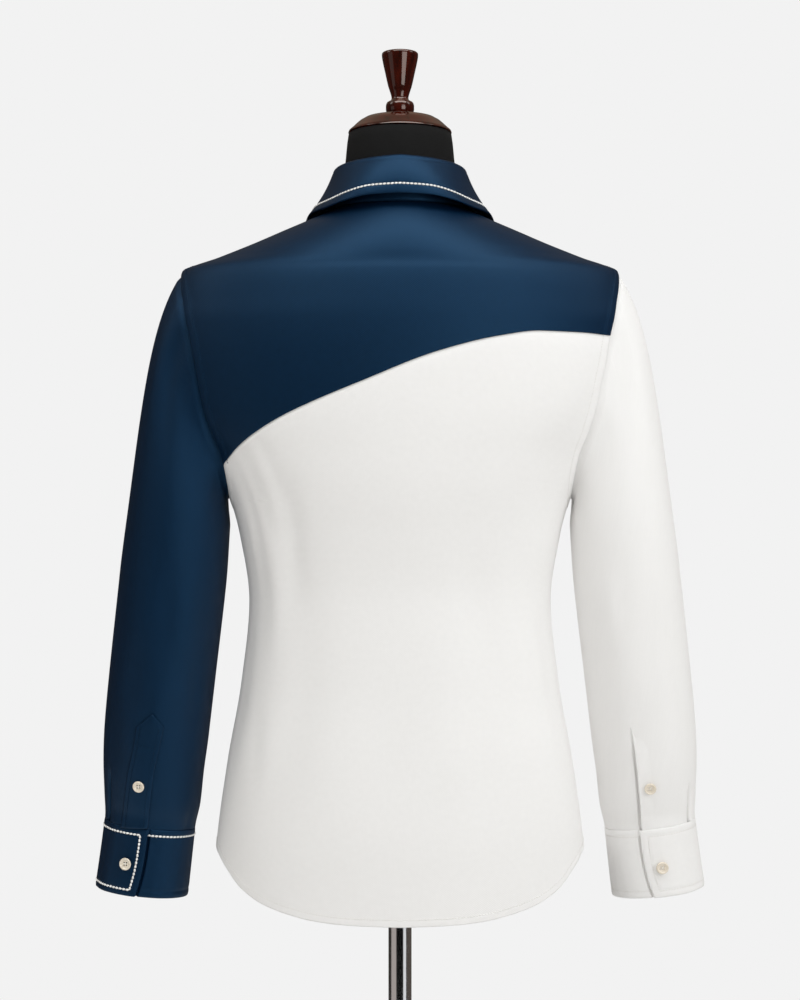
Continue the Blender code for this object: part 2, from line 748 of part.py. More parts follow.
def arm(turn, z):
    """A point of the left sleeve's smooth tube on the ring whose middle is at z."""
    across = arm_half(z) * math.cos(math.radians(turn))
    y = arm_y(z) + arm_depth(z) * math.sin(math.radians(turn))
    return np.array((arm_x(z) + across * TILT_COS, y, z + across * TILT_SIN))


def sleeve_armhole(turn):
    """The sleeve's edge in the armhole, at a turn of 180 at the armpit and 0 at the tip."""
    phase_here = math.radians(180.0 - turn)
    z = ARMHOLE_MID_Z - ARMHOLE_HALF_Z * math.cos(phase_here)
    back = math.sin(phase_here) >= 0.0
    cut = (ARMHOLE_BACK if back else ARMHOLE_FRONT) * math.sin(phase_here)
    return torso(90.0 - cut, z)


CAP_OUT = 0.70              # the way the cap leaves the armhole: outward,
CAP_OUT_TIP = 0.16          # more outward at the tip,
CAP_SPREAD = 0.42           # forward or back at the sides,
CAP_DROP = 0.25             # down,
CAP_DROP_TIP = 0.90         # and further down at the tip
CAP_LEAVE = 0.22            # how far the curve keeps that way, as a share of its length
CAP_ARRIVE = 0.43           # and how far before its end it lies along the arm


def cap(turn, t):
    """The sleeve cap: a loft from the armhole at t = 0 to the ring under the arm at t = 1."""
    start = sleeve_armhole(turn)
    end = arm(turn, BICEPS_Z)
    height = 0.5 * (1.0 + math.cos(math.radians(turn)))
    side = math.sin(math.radians(turn))
    drop = CAP_DROP + CAP_DROP_TIP * height * height
    leave = unit(np.array((CAP_OUT + CAP_OUT_TIP * height, -CAP_SPREAD * side, -drop)))
    arrive = unit(arm(turn, BICEPS_Z - 5.0 * MM) - end)
    reach = np.linalg.norm(end - start)
    first = start + leave * CAP_LEAVE * reach
    second = end - arrive * CAP_ARRIVE * reach
    u = 1.0 - t
    return u ** 3 * start + 3 * u * u * t * first + 3 * u * t * t * second + t ** 3 * end


Pleat = namedtuple("Pleat", "side turn reach depth")
PLEAT_WIDTH = 9.0           # degrees
PLEATS = [                  # tucks that take the sleeve's fullness into the cuff
    Pleat(1, 33.0, 0.055, 0.0026),
    Pleat(1, -22.0, 0.050, 0.0024),
    Pleat(-1, 31.0, 0.048, 0.0026),
    Pleat(-1, -24.0, 0.050, 0.0024),
]
ArmFold = namedtuple("ArmFold", "side turn end_turn top_z end_z width depth")
ARM_FOLDS = [
    ArmFold(1, 62.0, 70.0, 1.100, 0.945, 20.0, -0.0016),
    ArmFold(1, 118.0, 112.0, 1.110, 0.960, 18.0, -0.0018),
    ArmFold(1, 92.0, 95.0, 1.120, 0.950, 18.0, 0.0016),
    ArmFold(-1, 120.0, 112.0, 1.110, 0.940, 20.0, -0.0018),
    ArmFold(-1, 75.0, 84.0, 1.080, 0.940, 20.0, 0.0014),
]


def turn_off(turn, middle):
    """Signed difference of two turns, within half a circle."""
    return (turn - middle + 180.0) % 360.0 - 180.0


def arm_fold(side, turn, z):
    """How far pleats and folds push the sleeve's cloth out here."""
    out = 0.0
    for pleat in PLEATS:
        if pleat.side == side and z < CUFF_TOP_Z + pleat.reach:
            share = (CUFF_TOP_Z + pleat.reach - z) / pleat.reach
            off = turn_off(turn, pleat.turn) / PLEAT_WIDTH
            out -= pleat.depth * share * math.exp(-off * off)
    for fold in ARM_FOLDS:
        along = (fold.top_z - z) / (fold.top_z - fold.end_z)
        if fold.side == side and 0.0 < along < 1.0:
            off = turn_off(turn, lerp(fold.turn, fold.end_turn, along)) / fold.width
            out -= fold.depth * math.exp(-off * off) * math.sin(math.pi * along) ** 2
    return out


def surface_normal(point_at, turn, other, step):
    """Outward normal of a tube point_at(turn, other) whose second value runs down the arm."""
    around = point_at(turn + 0.5, other) - point_at(turn - 0.5, other)
    down = point_at(turn, other + step) - point_at(turn, other - step)
    return unit(np.cross(down, around))


def arm_surface(side, turn, z, lift=0.0):
    """Outer point and normal of a sleeve below the cap; side -1 is the right sleeve."""
    normal = surface_normal(arm, turn, z, -0.5 * MM)
    point = arm(turn, z) + normal * (arm_fold(side, turn, z) + lift)
    mirror = np.array((side, 1.0, 1.0))
    return point * mirror, normal * mirror


def sleeve_turns():
    """The turns of the sleeve's columns, which meet the armhole's steps."""
    back = [180.0 - phase(step) for step in range(ARMHOLE_STEPS + 1)]
    front = [360.0 - turn for turn in back[1:-1]]
    return back + front[::-1]


ARM_SPACING = 0.85          # below 1 the rows lie closer together near the cuff


def make_sleeve(side, name, finish):
    mirror = np.array((side, 1.0, 1.0))
    turns = sleeve_turns()
    rows = []
    for r in range(CAP_ROWS):
        t = r / CAP_ROWS
        row = []
        for turn in turns:
            point = cap(turn, t)
            normal = surface_normal(cap, turn, max(t, 0.01), 0.005)
            if r == 0:
                height = 0.5 * (1.0 + math.cos(math.radians(turn)))
                blend = height * height
                phase_here = math.radians(180.0 - turn)
                angle = 90.0 - ARMHOLE_BACK * math.sin(phase_here)
                seam_normal = torso_normal(angle, point[2])
                normal = unit(normal * (1.0 - blend) + seam_normal * blend)
            row.append((point * mirror, -normal * mirror))
        rows.append(row)
    end = CUFF_TOP_Z + 0.5 * SEAM
    for r in range(ARM_ROWS + 1):
        down = r / ARM_ROWS
        z = lerp(BICEPS_Z, end, down ** ARM_SPACING)
        row = []
        for turn in turns:
            point, normal = arm_surface(side, turn, z)
            row.append((point, -normal))
        rows.append(row)
    grid_patch(name, rows, CLOTH, finish, closed=True)


def make_cuff(side, name, finish, edge_top, edge_end):
    """A band around the wrist that laps over itself at the back."""
    count = int(round((360.0 + CUFF_LAP) / CUFF_STEP))
    levels = (0.0, 0.35, 0.7, 1.0)
    rows = []
    for level in levels:
        z = lerp(CUFF_TOP_Z - 0.5 * SEAM, CUFF_END_Z, level)
        edge = lerp(edge_top, edge_end, level ** 3)
        row = []
        for k in range(count + 1):
            run = k * CUFF_STEP
            turn = edge - CUFF_LAP + run
            lift = (BAND + LIE) * smooth_step(run, 360.0 - 2.5 * CUFF_STEP, 360.0 - 0.5 * CUFF_STEP)
            normal = surface_normal(arm, turn, z, -0.5 * MM)
            mirror = np.array((side, 1.0, 1.0))
            row.append(((arm(turn, z) + normal * lift) * mirror, -normal * mirror))
        rows.append(row)
    grid_patch(name, rows, BAND, finish)


def on_arm(side, x, z, lift=0.0):
    """The back of a sleeve at a distance x from the middle plane and a height z."""
    ring = z
    for _ in range(6):
        ring = z - (x - arm_x(ring)) * TILT_SIN / TILT_COS
    share = (x - arm_x(ring)) / (arm_half(ring) * TILT_COS)
    turn = math.degrees(math.acos(min(max(share, -1.0), 1.0)))
    return arm_surface(side, turn, ring, lift)


def make_sleeve_placket(side, name, table, finish):
    """A strip on the back of a sleeve, above the cuff."""
    inner = column_curve(table, "z", "inner_x")
    outer = column_curve(table, "z", "outer_x")
    heights = [lerp(table[0].z, table[-2].z, r / 8) for r in range(9)]
    if table is TOWER_PLACKET:
        heights.append(table[-1].z)
    rows = []
    for z in heights:
        row = []
        for k in range(4):
            x = lerp(inner(z), outer(z), k / 3)
            point, normal = on_arm(side, x, z, SLIT_LIE + SKIN)
            row.append((point, -normal))
        rows.append(row)
    grid_patch(name, rows, SKIN, finish)


# ---------------------------------------------------------------- collar
StandPoint = namedtuple("StandPoint", "angle half depth rise")
STAND_TOP = [               # top of the stand seen from above, and its height over the seam
    StandPoint(0.0, 0.0625, 0.0660, 0.0432),
    StandPoint(90.0, 0.0625, 0.0660, 0.0360),
    StandPoint(180.0, 0.0625, 0.0650, 0.0270),
]
stand_half = column_curve(STAND_TOP, "angle", "half")
stand_depth = column_curve(STAND_TOP, "angle", "depth")
stand_rise = column_curve(STAND_TOP, "angle", "rise")
STAND_JOIN = 0.88           # share of the rise at which the leaf takes over
STAND_LAP = 12.0            # degrees that the stand runs past centre front on each side
STAND_GAP = 0.5 * MM        # between the stand and the yoke
STAND_GAP_FRONT = 1.3 * MM  # and between the stand and the fronts
ROLL = 3.6 * MM             # outer radius of the collar's fold


def stand_point(angle, up):
    """The stand's outer side: up is 0 at the neck seam and 1 at the top."""
    low = neck_point(angle)
    around = abs((angle + 180.0) % 360.0 - 180.0)
    s = math.sin(math.radians(angle))
    c = math.cos(math.radians(angle))
    high = np.array((stand_half(around) * s, stand_depth(around) * c, low[2] + stand_rise(around)))
    return lerp(low, high, up)


def stand_normal(angle, up):
    around = stand_point(angle + 0.5, up) - stand_point(angle - 0.5, up)
    rise = stand_point(angle, 1.0) - stand_point(angle, 0.0)
    return unit(np.cross(rise, around))


def make_collar_stand():
    """A band around the neck; its left end laps over its right one in front."""
    start = -180.0 - STAND_LAP
    columns = int(round(-2.0 * start / COLLAR_STEP))
    rows = []
    for up in (0.0, 0.5, STAND_JOIN):
        row = []
        for c in range(columns + 1):
            angle = start + c * COLLAR_STEP
            lift = (CLOTH + LIE) * smooth_step(angle, 180.0 - 2.2 * STAND_LAP, 180.0 - 1.1 * STAND_LAP)
            normal = stand_normal(angle, up)
            gap = lerp(STAND_GAP, STAND_GAP_FRONT, smooth_step(abs(angle), 80.0, 130.0))
            point = stand_point(angle, up) + normal * lift * np.array((1.0, 1.0, 0.0))
            point[2] += gap * (1.0 - up)
            row.append((point, -normal))
        rows.append(row)
    grid_patch("collar_stand", rows, CLOTH, NAVY)


leaf_x = column_curve(LEAF_EDGE, "angle", "x")
leaf_y = column_curve(LEAF_EDGE, "angle", "y")
leaf_z = column_curve(LEAF_EDGE, "angle", "z")
LEAF_END = 168.0
BowPoint = namedtuple("BowPoint", "angle out")
LEAF_BOW = [                # the leaf is a little full behind and hollow at the sides
    BowPoint(0.0, 2.0 * MM),
    BowPoint(25.0, 1.8 * MM),
    BowPoint(50.0, -1.0 * MM),
    BowPoint(80.0, -2.5 * MM),
    BowPoint(120.0, -2.0 * MM),
    BowPoint(168.0, 1.0 * MM),
]
leaf_bow = column_curve(LEAF_BOW, "angle", "out")


def leaf_edge(angle):
    side = -1.0 if angle < 0.0 else 1.0
    return np.array((side * leaf_x(abs(angle)), leaf_y(abs(angle)), leaf_z(abs(angle))))


def make_collar_leaf():
    """The leaf rises from the stand, rolls over its fold and falls outside it."""
    up = np.array((0.0, 0.0, 1.0))
    columns = []
    for c in range(int(round(2.0 * LEAF_END / COLLAR_STEP)) + 1):
        angle = c * COLLAR_STEP - LEAF_END
        out = stand_normal(angle, 1.0)
        out = unit(np.array((out[0], out[1], 0.0)))
        top = stand_point(angle, 1.0)
        seam = stand_point(angle, STAND_JOIN) + up * 1.2 * SEAM
        column = [(seam, out), (top, out)]
        for turn in (45.0, 90.0, 135.0, 180.0):
            t = math.radians(turn)
            way = -out * math.cos(t) + up * math.sin(t)
            column.append((top + out * ROLL + way * ROLL, -way))
        hang = column[-1][0]
        edge = leaf_edge(angle)
        fall = edge - hang
        along = leaf_edge(min(angle + 1.0, LEAF_END)) - leaf_edge(max(angle - 1.0, -LEAF_END))
        inward = unit(np.cross(along, fall))
        if np.dot(inward, out) > 0.0:
            inward = -inward
        middle = lerp(hang, edge, 0.5) - inward * leaf_bow(abs(angle))
        column.append((middle, inward))
        column.append((edge, inward))
        columns.append(column)
    rows = [list(row) for row in zip(*columns)]
    grid_patch("collar_leaf", rows, BAND, NAVY)


# ---------------------------------------------------------------- buttons
ButtonRing = namedtuple("ButtonRing", "share level")
BUTTON_RINGS = [            # shares of the radius and of the height, from the cloth up
    ButtonRing(0.80, 0.0),
    ButtonRing(1.0, 0.35),
    ButtonRing(1.0, 0.75),
    ButtonRing(0.88, 1.0),
    ButtonRing(0.66, 0.72),
]
BUTTON_SIDES = 14


def make_button(name, centre, normal, radius):
    """A sewn button: a disc with a rounded rim and a dished face."""
    across = unit(np.cross(np.array((0.0, 0.0, 1.0)), normal))
    along = np.cross(normal, across)
    rings = []
    for level in BUTTON_RINGS:
        ring = []
        for k in range(BUTTON_SIDES):
            turn = 2.0 * math.pi * k / BUTTON_SIDES
            way = across * math.cos(turn) + along * math.sin(turn)
            ring.append(centre + way * radius * level.share + normal * BUTTON_HEIGHT * level.level)
        rings.append(ring)
    add_tube(name, rings, IVORY)


def make_sleeve_buttons():
    for place in SLEEVE_BUTTONS:
        on_cuff = place.lift == 0.0
        lift = BAND + LIE + LIE if on_cuff else place.lift + LIE
        centre, normal = on_arm(place.side, place.x, place.z, lift)
        make_button(place.name, centre, normal, place.radius)


def make_front_buttons():
    rise = CLOTH + LIE + LIE + SKIN + LIE
    for number, z in enumerate(FRONT_BUTTON_ZS, start=1):
        centre, normal = cloth(180.0, z, rise)
        make_button("button_front_%d" % number, centre, normal, FRONT_BUTTON_RADIUS)


# ---------------------------------------------------------------- dress form
def form_clearance(z, least):
    """Distance from the cloth's outer side to the form, least where it carries the cloth."""
    return CLOTH + lerp(8.0 * MM, least, smooth_step(z, 1.28, 1.392))


FORM_SHOULDER = 0.200       # half width of the form at its arm plates
CARRY = 0.8 * MM            # gap under the yoke, which rests on the form
FRONT_CLEAR = 5.0 * MM      # gap under the upper fronts
NECK_FOOT_RADIUS = 0.0595   # the neck runs down into the torso this wide


def form_point(angle, z):
    """The form's torso, inside the cloth, up to the neck."""
    rise = 2.0 * MM

    def inset(size, least):
        slope = (size(z + rise) - size(z - rise)) / (2.0 * rise)
        return size(z) - form_clearance(z, least) * math.hypot(1.0, slope)

    s = math.sin(math.radians(angle))
    c = math.cos(math.radians(angle))
    half = min(inset(half_width, CARRY), FORM_SHOULDER)
    depth = inset(back_depth, CARRY) if c >= 0.0 else inset(front_depth, FRONT_CLEAR)
    x = half * s
    y = depth * c * (1.0 + fullness(z) * s * s)
    widen = max(1.0, NECK_FOOT_RADIUS / math.hypot(x, y))
    return np.array((x * widen, y * widen, z))


NeckRing = namedtuple("NeckRing", "z radius")
NECK_RINGS = [
    NeckRing(1.4575, 0.0592),
    NeckRing(1.4800, 0.0576),
    NeckRing(1.5000, 0.0568),
    NeckRing(1.5200, 0.0549),
    NeckRing(NECK_TOP_Z - 0.0012, 0.0535),
    NeckRing(NECK_TOP_Z, 0.0520),
]
FORM_LEVELS = [
    FORM_BOTTOM_Z, 0.880, 0.963, 1.046, 1.113, 1.160, 1.200, 1.245, 1.290,
    1.330, 1.358, 1.376, 1.388, 1.396, 1.407, 1.418, 1.428, 1.438, 1.446, 1.4505,
]


def circle(radius, z, sides):
    turns = [2.0 * math.pi * k / sides for k in range(sides)]
    return [np.array((radius * math.sin(t), radius * math.cos(t), z)) for t in turns]


def make_form():
    angles = [360.0 * k / FORM_COLUMNS for k in range(FORM_COLUMNS)]
    rings = [[form_point(angle, z) for angle in angles] for z in FORM_LEVELS]
    rings += [circle(ring.radius, ring.z, FORM_COLUMNS) for ring in NECK_RINGS]
    add_tube("form_bust", rings, BLACK_JERSEY)


def turned(name, profile, sides, finish):
    """A lathe-turned solid from its profile."""
    add_tube(name, [circle(p.radius, p.z, sides) for p in profile], finish)


def make_stand():
    turned("form_neck_cap", NECK_CAP, 32, MAHOGANY)
    turned("form_finial", FINIAL, 20, MAHOGANY)
    turned("form_base", BASE, 36, CHROME)
    post = [
        ProfilePoint(POST_RADIUS, POST_FOOT_Z),
        ProfilePoint(POST_RADIUS, FORM_BOTTOM_Z - SEAM),
    ]
    turned("form_post", post, 24, CHROME)


# ---------------------------------------------------------------- the whole object
def main():
    for thing in list(bpy.data.objects):
        bpy.data.objects.remove(thing, do_unlink=True)
    make_yoke()
    make_back()
    make_front(1)
    make_front(-1)
    make_front_placket()
    make_collar_stand()
    make_collar_leaf()
    make_sleeve(1, "sleeve_left", NAVY)
    make_sleeve(-1, "sleeve_right", WHITE)
    make_cuff(1, "cuff_left", NAVY, 94.0, 87.5)
    make_cuff(-1, "cuff_right", WHITE, 109.0, 100.5)
    make_sleeve_placket(1, "sleeve_placket_left", TOWER_PLACKET, NAVY)
    make_sleeve_placket(-1, "sleeve_placket_right", PLAIN_PLACKET, WHITE)
    make_sleeve_buttons()
    make_front_buttons()
    make_form()
    make_stand()


main()
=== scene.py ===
# %% [markdown]
# # A shirt jacket on a dress form
# A long-sleeved shirt jacket hangs on a black, limbless dress form with a turned wooden cap and
# a chromed post. It is seen from behind. Yoke, collar, left sleeve and cuff are navy cotton
# twill and the rest is white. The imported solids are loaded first, as a fixed frame: they say how
# large each piece is and where it sits. Each piece of cloth then gets a finer sheet that
# follows the same surface as its solid, with its creases, seams and stitches.

# %% Load the frame
import math

import bmesh
import bpy
import numpy as np
from mathutils import Matrix, Vector


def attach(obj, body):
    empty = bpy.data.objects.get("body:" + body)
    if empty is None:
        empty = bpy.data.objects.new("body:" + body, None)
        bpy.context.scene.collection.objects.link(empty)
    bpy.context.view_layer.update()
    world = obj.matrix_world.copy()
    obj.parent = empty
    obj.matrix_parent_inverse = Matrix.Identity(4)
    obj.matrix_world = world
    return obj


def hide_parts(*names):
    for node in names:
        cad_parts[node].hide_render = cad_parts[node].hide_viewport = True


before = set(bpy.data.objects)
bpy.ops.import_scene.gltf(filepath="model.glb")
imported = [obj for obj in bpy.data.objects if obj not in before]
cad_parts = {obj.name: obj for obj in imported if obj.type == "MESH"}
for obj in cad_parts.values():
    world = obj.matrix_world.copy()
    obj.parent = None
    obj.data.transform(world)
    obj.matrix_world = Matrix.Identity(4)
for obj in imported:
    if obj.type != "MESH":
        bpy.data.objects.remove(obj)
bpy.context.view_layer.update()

MM = 0.001

# %% [markdown]
# ## Curves from short tables
# The garment is described by a few sizes at a few heights. A smooth curve through such a table
# should never swing past its own values, or the cloth would bulge. A monotone cubic has that
# property. It is written for whole arrays at once, because a sheet has thousands of points.

# %% Tables and curves
def table(names, *rows):
    """A table with named columns, as one array per column."""
    return {name: np.array(column, float) for name, column in zip(names.split(), zip(*rows))}


def curve(xs, ys):
    steps = np.diff(xs)
    slopes = np.diff(ys) / steps
    tangents = np.concatenate((slopes[:1], np.zeros(len(xs) - 2), slopes[-1:]))
    for i in range(1, len(xs) - 1):
        if slopes[i - 1] * slopes[i] > 0.0:
            before = 2.0 * steps[i] + steps[i - 1]
            after = steps[i] + 2.0 * steps[i - 1]
            tangents[i] = (before + after) / (before / slopes[i - 1] + after / slopes[i])

    def at(x):
        x = np.clip(x, xs[0], xs[-1])
        i = np.clip(np.searchsorted(xs, x) - 1, 0, len(steps) - 1)
        h = steps[i]
        t = (x - xs[i]) / h
        start = (1 + 2 * t) * (1 - t) ** 2 * ys[i] + t * (1 - t) ** 2 * h * tangents[i]
        return start + t * t * (3 - 2 * t) * ys[i + 1] + t * t * (t - 1) * h * tangents[i + 1]

    return at


def lerp(a, b, t):
    return a + (b - a) * t


def smooth_step(x, low, high):
    """0 at low and 1 at high, with no slope at either."""
    t = np.clip((x - low) / (high - low), 0.0, 1.0)
    return t * t * (3.0 - 2.0 * t)


def bell(x):
    """1 at zero, fading out smoothly on both sides."""
    return np.exp(-x * x)


def bisect(inside, low, high):
    """Where inside() turns from true to false, for arrays."""
    low, high = (np.array(a, float) for a in np.broadcast_arrays(low, high))
    for _ in range(36):
        middle = 0.5 * (low + high)
        keep = inside(middle)
        low, high = np.where(keep, middle, low), np.where(keep, high, middle)
    return 0.5 * (low + high)


def sin(degrees):
    return np.sin(np.radians(degrees))


def cos(degrees):
    return np.cos(np.radians(degrees))


def unit(vectors):
    return vectors / np.maximum(np.linalg.norm(vectors, axis=-1, keepdims=True), 1e-12)


def joined(*spans):
    """Even steps over spans (start, end, count) that follow each other, none of them twice."""
    steps = [np.linspace(*span) for span in spans]
    return np.concatenate(steps[:1] + [part[1:] for part in steps[1:]])


def length_along(points, axis=0):
    """Length walked along a line or one way over a grid of points, 0 at its start."""
    steps = np.cumsum(np.linalg.norm(np.diff(points, axis=axis), axis=-1), axis=axis)
    return np.concatenate((0.0 * np.take(steps, [0], axis=axis), steps), axis=axis)


def turn_off(turn, middle):
    """Degrees from a middle to a turn, the short way round."""
    return (turn - middle + 180.0) % 360.0 - 180.0


def from_centre(angle):
    return np.abs(turn_off(angle, 0.0))


print("joined spans:", joined((0, 1, 3), (1, 3, 2)))

# %% [markdown]
# ## The body of the garment as one surface
# A worn shirt is a closed tube with rounded level sections, so the whole body is one function
# of an angle and a height. The angle is 0 at centre back, 90 at the wearer's left side and 180
# at centre front. Yoke, back and fronts are cut out of it along shared seam curves, and that
# is why they meet. The tables hold the same sizes as the solids.

# %% Body sections and seam curves
SECTIONS = table(
    "z half back front full",
    (0.700, 0.1960, 0.1120, 0.1060, 0.10), (0.793, 0.1905, 0.1120, 0.1060, 0.10),
    (0.880, 0.1790, 0.1060, 0.1040, 0.10), (0.963, 0.1645, 0.0970, 0.1010, 0.10),
    (1.046, 0.1565, 0.0940, 0.1010, 0.08), (1.113, 0.1660, 0.1010, 0.1050, 0.06),
    (1.150, 0.1760, 0.1070, 0.1080, 0.05), (1.175, 0.1870, 0.1100, 0.1095, 0.04),
    (1.200, 0.2005, 0.1120, 0.1100, 0.02), (1.220, 0.2145, 0.1135, 0.1100, 0.01),
    (1.245, 0.2275, 0.1145, 0.1090, 0.00), (1.270, 0.2345, 0.1145, 0.1065, 0.00),
    (1.300, 0.2390, 0.1135, 0.1000, 0.00), (1.330, 0.2395, 0.1110, 0.0900, -0.02),
    (1.355, 0.2360, 0.1070, 0.0795, -0.06), (1.379, 0.2292, 0.1020, 0.0700, -0.10),
    (1.387, 0.2243, 0.0995, 0.0655, -0.12), (1.400, 0.1900, 0.0965, 0.0588, -0.14),
    (1.414, 0.1545, 0.0920, 0.0515, -0.14), (1.428, 0.1215, 0.0855, 0.0440, -0.12),
    (1.439, 0.0950, 0.0785, 0.0380, -0.09), (1.446, 0.0790, 0.0722, 0.0340, -0.06),
    (1.4515, 0.0670, 0.0660, 0.0310, -0.03), (1.465, 0.0400, 0.0480, 0.0230, 0.00),
)
YOKE_SEAM = table(
    "x z",
    (-0.2145, 1.3162), (-0.1816, 1.3178), (-0.1404, 1.3180), (-0.0983, 1.3121),
    (-0.0362, 1.2959), (0.0372, 1.2671), (0.0968, 1.2426), (0.1211, 1.2310),
    (0.1462, 1.2161), (0.1636, 1.2030), (0.1800, 1.1860),
)
HEM = table(
    "angle z",
    (0, 0.7313), (16, 0.7327), (26, 0.7355), (35, 0.7405), (45, 0.7480), (55.5, 0.7600),
    (66.5, 0.7770), (78, 0.7890), (90, 0.7930), (102, 0.7890), (114, 0.7790),
    (130, 0.7620), (150, 0.7490), (180, 0.7440),
)
half_width, back_depth, front_depth, fullness = (
    curve(SECTIONS["z"], SECTIONS[name]) for name in ("half", "back", "front", "full"))
seam_height = curve(YOKE_SEAM["x"], YOKE_SEAM["z"])
hem_height = curve(HEM["angle"], HEM["z"])

TIP_Z, ARMPIT_Z = 1.387, 1.150
ARMHOLE_CUT = 30.0                      # degrees that the armhole cuts into back and front
HOLE_MID = 0.5 * (TIP_Z + ARMPIT_Z)
HOLE_HALF = 0.5 * (TIP_Z - ARMPIT_Z)
NECK_TOP_Z = 1.4515                     # where the front yoke seam reaches the neck
NECK_HALF, NECK_BACK, NECK_FRONT = 0.067, 0.068, 0.070


def torso(angle, z):
    """A point of the smooth body surface."""
    s, c = sin(angle), cos(angle)
    depth = np.where(c >= 0.0, back_depth(z), front_depth(z))
    return np.stack((half_width(z) * s, depth * c * (1.0 + fullness(z) * s * s), z + 0.0 * s), -1)


def torso_normal(angle, z):
    around = torso(angle + 0.5, z) - torso(angle - 0.5, z)
    up = torso(angle, z + 0.5 * MM) - torso(angle, z - 0.5 * MM)
    return unit(np.cross(up, around))


def to_body(points):
    """Angle and height of points that lie on or near the body surface."""
    x, y, z = points[..., 0], points[..., 1], points[..., 2]
    s = np.clip(x / half_width(z), -1.0, 1.0)
    depth = np.where(y >= 0.0, back_depth(z), front_depth(z)) * (1.0 + fullness(z) * s * s)
    return np.degrees(np.arctan2(s, y / depth)), z


print("chest", round(2000 * float(half_width(1.2))), "mm wide in front view")

# %% [markdown]
# ## Creases
# Cloth on a form falls in a few soft, uneven folds: where the back narrows to the waist, where
# the arm pulls at the shoulder, and above the hem. A simulation would give random ones, and
# here they are placed one by one, each as a long trough or ridge that fades at both ends. The
# larger ones are also in the solids.

# %% Body creases
BODY_CREASES = table(
    "a0 a1 z0 z1 width depth",
    (38, 42, 1.215, 1.010, 0.014, 0.0026), (54, 51, 1.200, 0.940, 0.015, -0.0024),
    (31, 43, 1.060, 0.790, 0.022, 0.0026), (72, 74, 1.080, 0.820, 0.014, 0.0016),
    (-48, -56, 1.270, 1.080, 0.018, 0.0024), (-18, -38, 1.210, 0.900, 0.024, 0.0020),
    (-66, -70, 1.100, 0.830, 0.015, 0.0018), (-8, -22, 1.080, 0.780, 0.026, -0.0016),
    (128, 134, 1.240, 0.860, 0.020, 0.0020), (-124, -136, 1.230, 0.840, 0.022, 0.0022),
    (54, 50, 1.235, 1.080, 0.008, 0.0011), (66, 64, 1.205, 1.020, 0.008, -0.0011),
    (44, 41, 1.245, 1.120, 0.007, 0.0009), (60, 58, 1.220, 1.060, 0.006, 0.0009),
    (-58, -60, 1.215, 1.060, 0.008, 0.0008), (-62, -52, 1.290, 1.190, 0.010, 0.0010),
    (20, 28, 1.150, 0.960, 0.018, -0.0008), (8, 2, 1.000, 0.800, 0.020, 0.0009),
    (60, 50, 0.960, 0.830, 0.009, 0.0009), (-30, -24, 0.960, 0.800, 0.016, 0.0010),
    (112, 118, 1.220, 1.050, 0.010, 0.0011), (-108, -114, 1.215, 1.040, 0.010, 0.0011),
    (150, 146, 1.180, 0.900, 0.018, 0.0010), (-152, -146, 1.120, 0.830, 0.018, 0.0011),
)
BODY_RADIUS = 0.15                      # turns degrees round the body into metres


def fade(along):
    """1 in the middle of a crease, 0 at and beyond its ends."""
    return np.sin(np.pi * np.clip(along, 0.0, 1.0)) ** 2


def body_relief(angle, z):
    out = 0.0 * angle
    for a0, a1, z0, z1, width, depth in zip(*BODY_CREASES.values()):
        along = (z0 - z) / (z0 - z1)
        off = np.radians(angle - lerp(a0, a1, along)) * BODY_RADIUS / width
        out = out - depth * bell(off) * fade(along)
    return out


def body_cloth(angle, z, lift=0.0):
    """Points of the cloth's outer side, and the direction away from the body."""
    normal = torso_normal(angle, z)
    return torso(angle, z) + normal * (body_relief(angle, z) + lift)[..., None], normal


print(len(BODY_CREASES["a0"]), "creases on the body")

# %% [markdown]
# ## From a grid to a sewn sheet
# Each panel starts as a flat grid, one of Blender's own shapes, whose rows and columns are laid
# on the surface. The grid is finer near its edges, where seams and hems need narrow cells. Its
# UV map is measured along the cloth in metres, so that the weave keeps its size everywhere. A
# Solidify modifier then gives the sheet its wall, inward from the outer side.

# %% Sheets
CLOTH_WALL = 1.0 * MM
CELL = 3.8 * MM
FINE_CELL = 1.2 * MM
WELD = 0.02 * MM
collection = bpy.context.scene.collection


def spaced(length, fine_start=0.0, fine_end=0.0, cell=CELL):
    """Places from 0 to 1 along a length, close together near the ends that ask for it."""
    start = np.arange(0.0, fine_start, FINE_CELL)
    end = length - np.arange(0.0, fine_end, FINE_CELL)[::-1]
    low = start[-1] + FINE_CELL if len(start) else 0.0
    high = end[0] - FINE_CELL if len(end) else length
    middle = np.linspace(low, high, int(round((high - low) / cell)) + 1)
    return np.concatenate((start, middle, end)) / length


def measured(points, zero_column=None, start=None):
    """A grid of points and its UV map: lengths along rows and columns, in metres."""
    across = length_along(points, 1)
    zero_column = points.shape[1] // 2 if zero_column is None else zero_column
    across = across - across[:, [zero_column]]
    along = length_along(points) + (points[0, :, 2] if start is None else start[:, 1])
    return points, np.stack((across, along), -1)


def new_mesh(name, bm):
    mesh = bpy.data.meshes.new(name)
    bm.to_mesh(mesh)
    bm.free()
    return mesh


def new_object(name, bm, material):
    mesh = new_mesh(name, bm)
    mesh.shade_smooth()
    mesh.materials.append(material)
    thing = bpy.data.objects.new(name, mesh)
    collection.objects.link(thing)
    return thing


def finish_object(name, bm, material, slot, nodes):
    """Makes the object, lets it ride on the body and stand for its CAD nodes."""
    piece = new_object(name, bm, material)
    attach(piece, "root")
    if nodes:
        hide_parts(*nodes)
    return piece


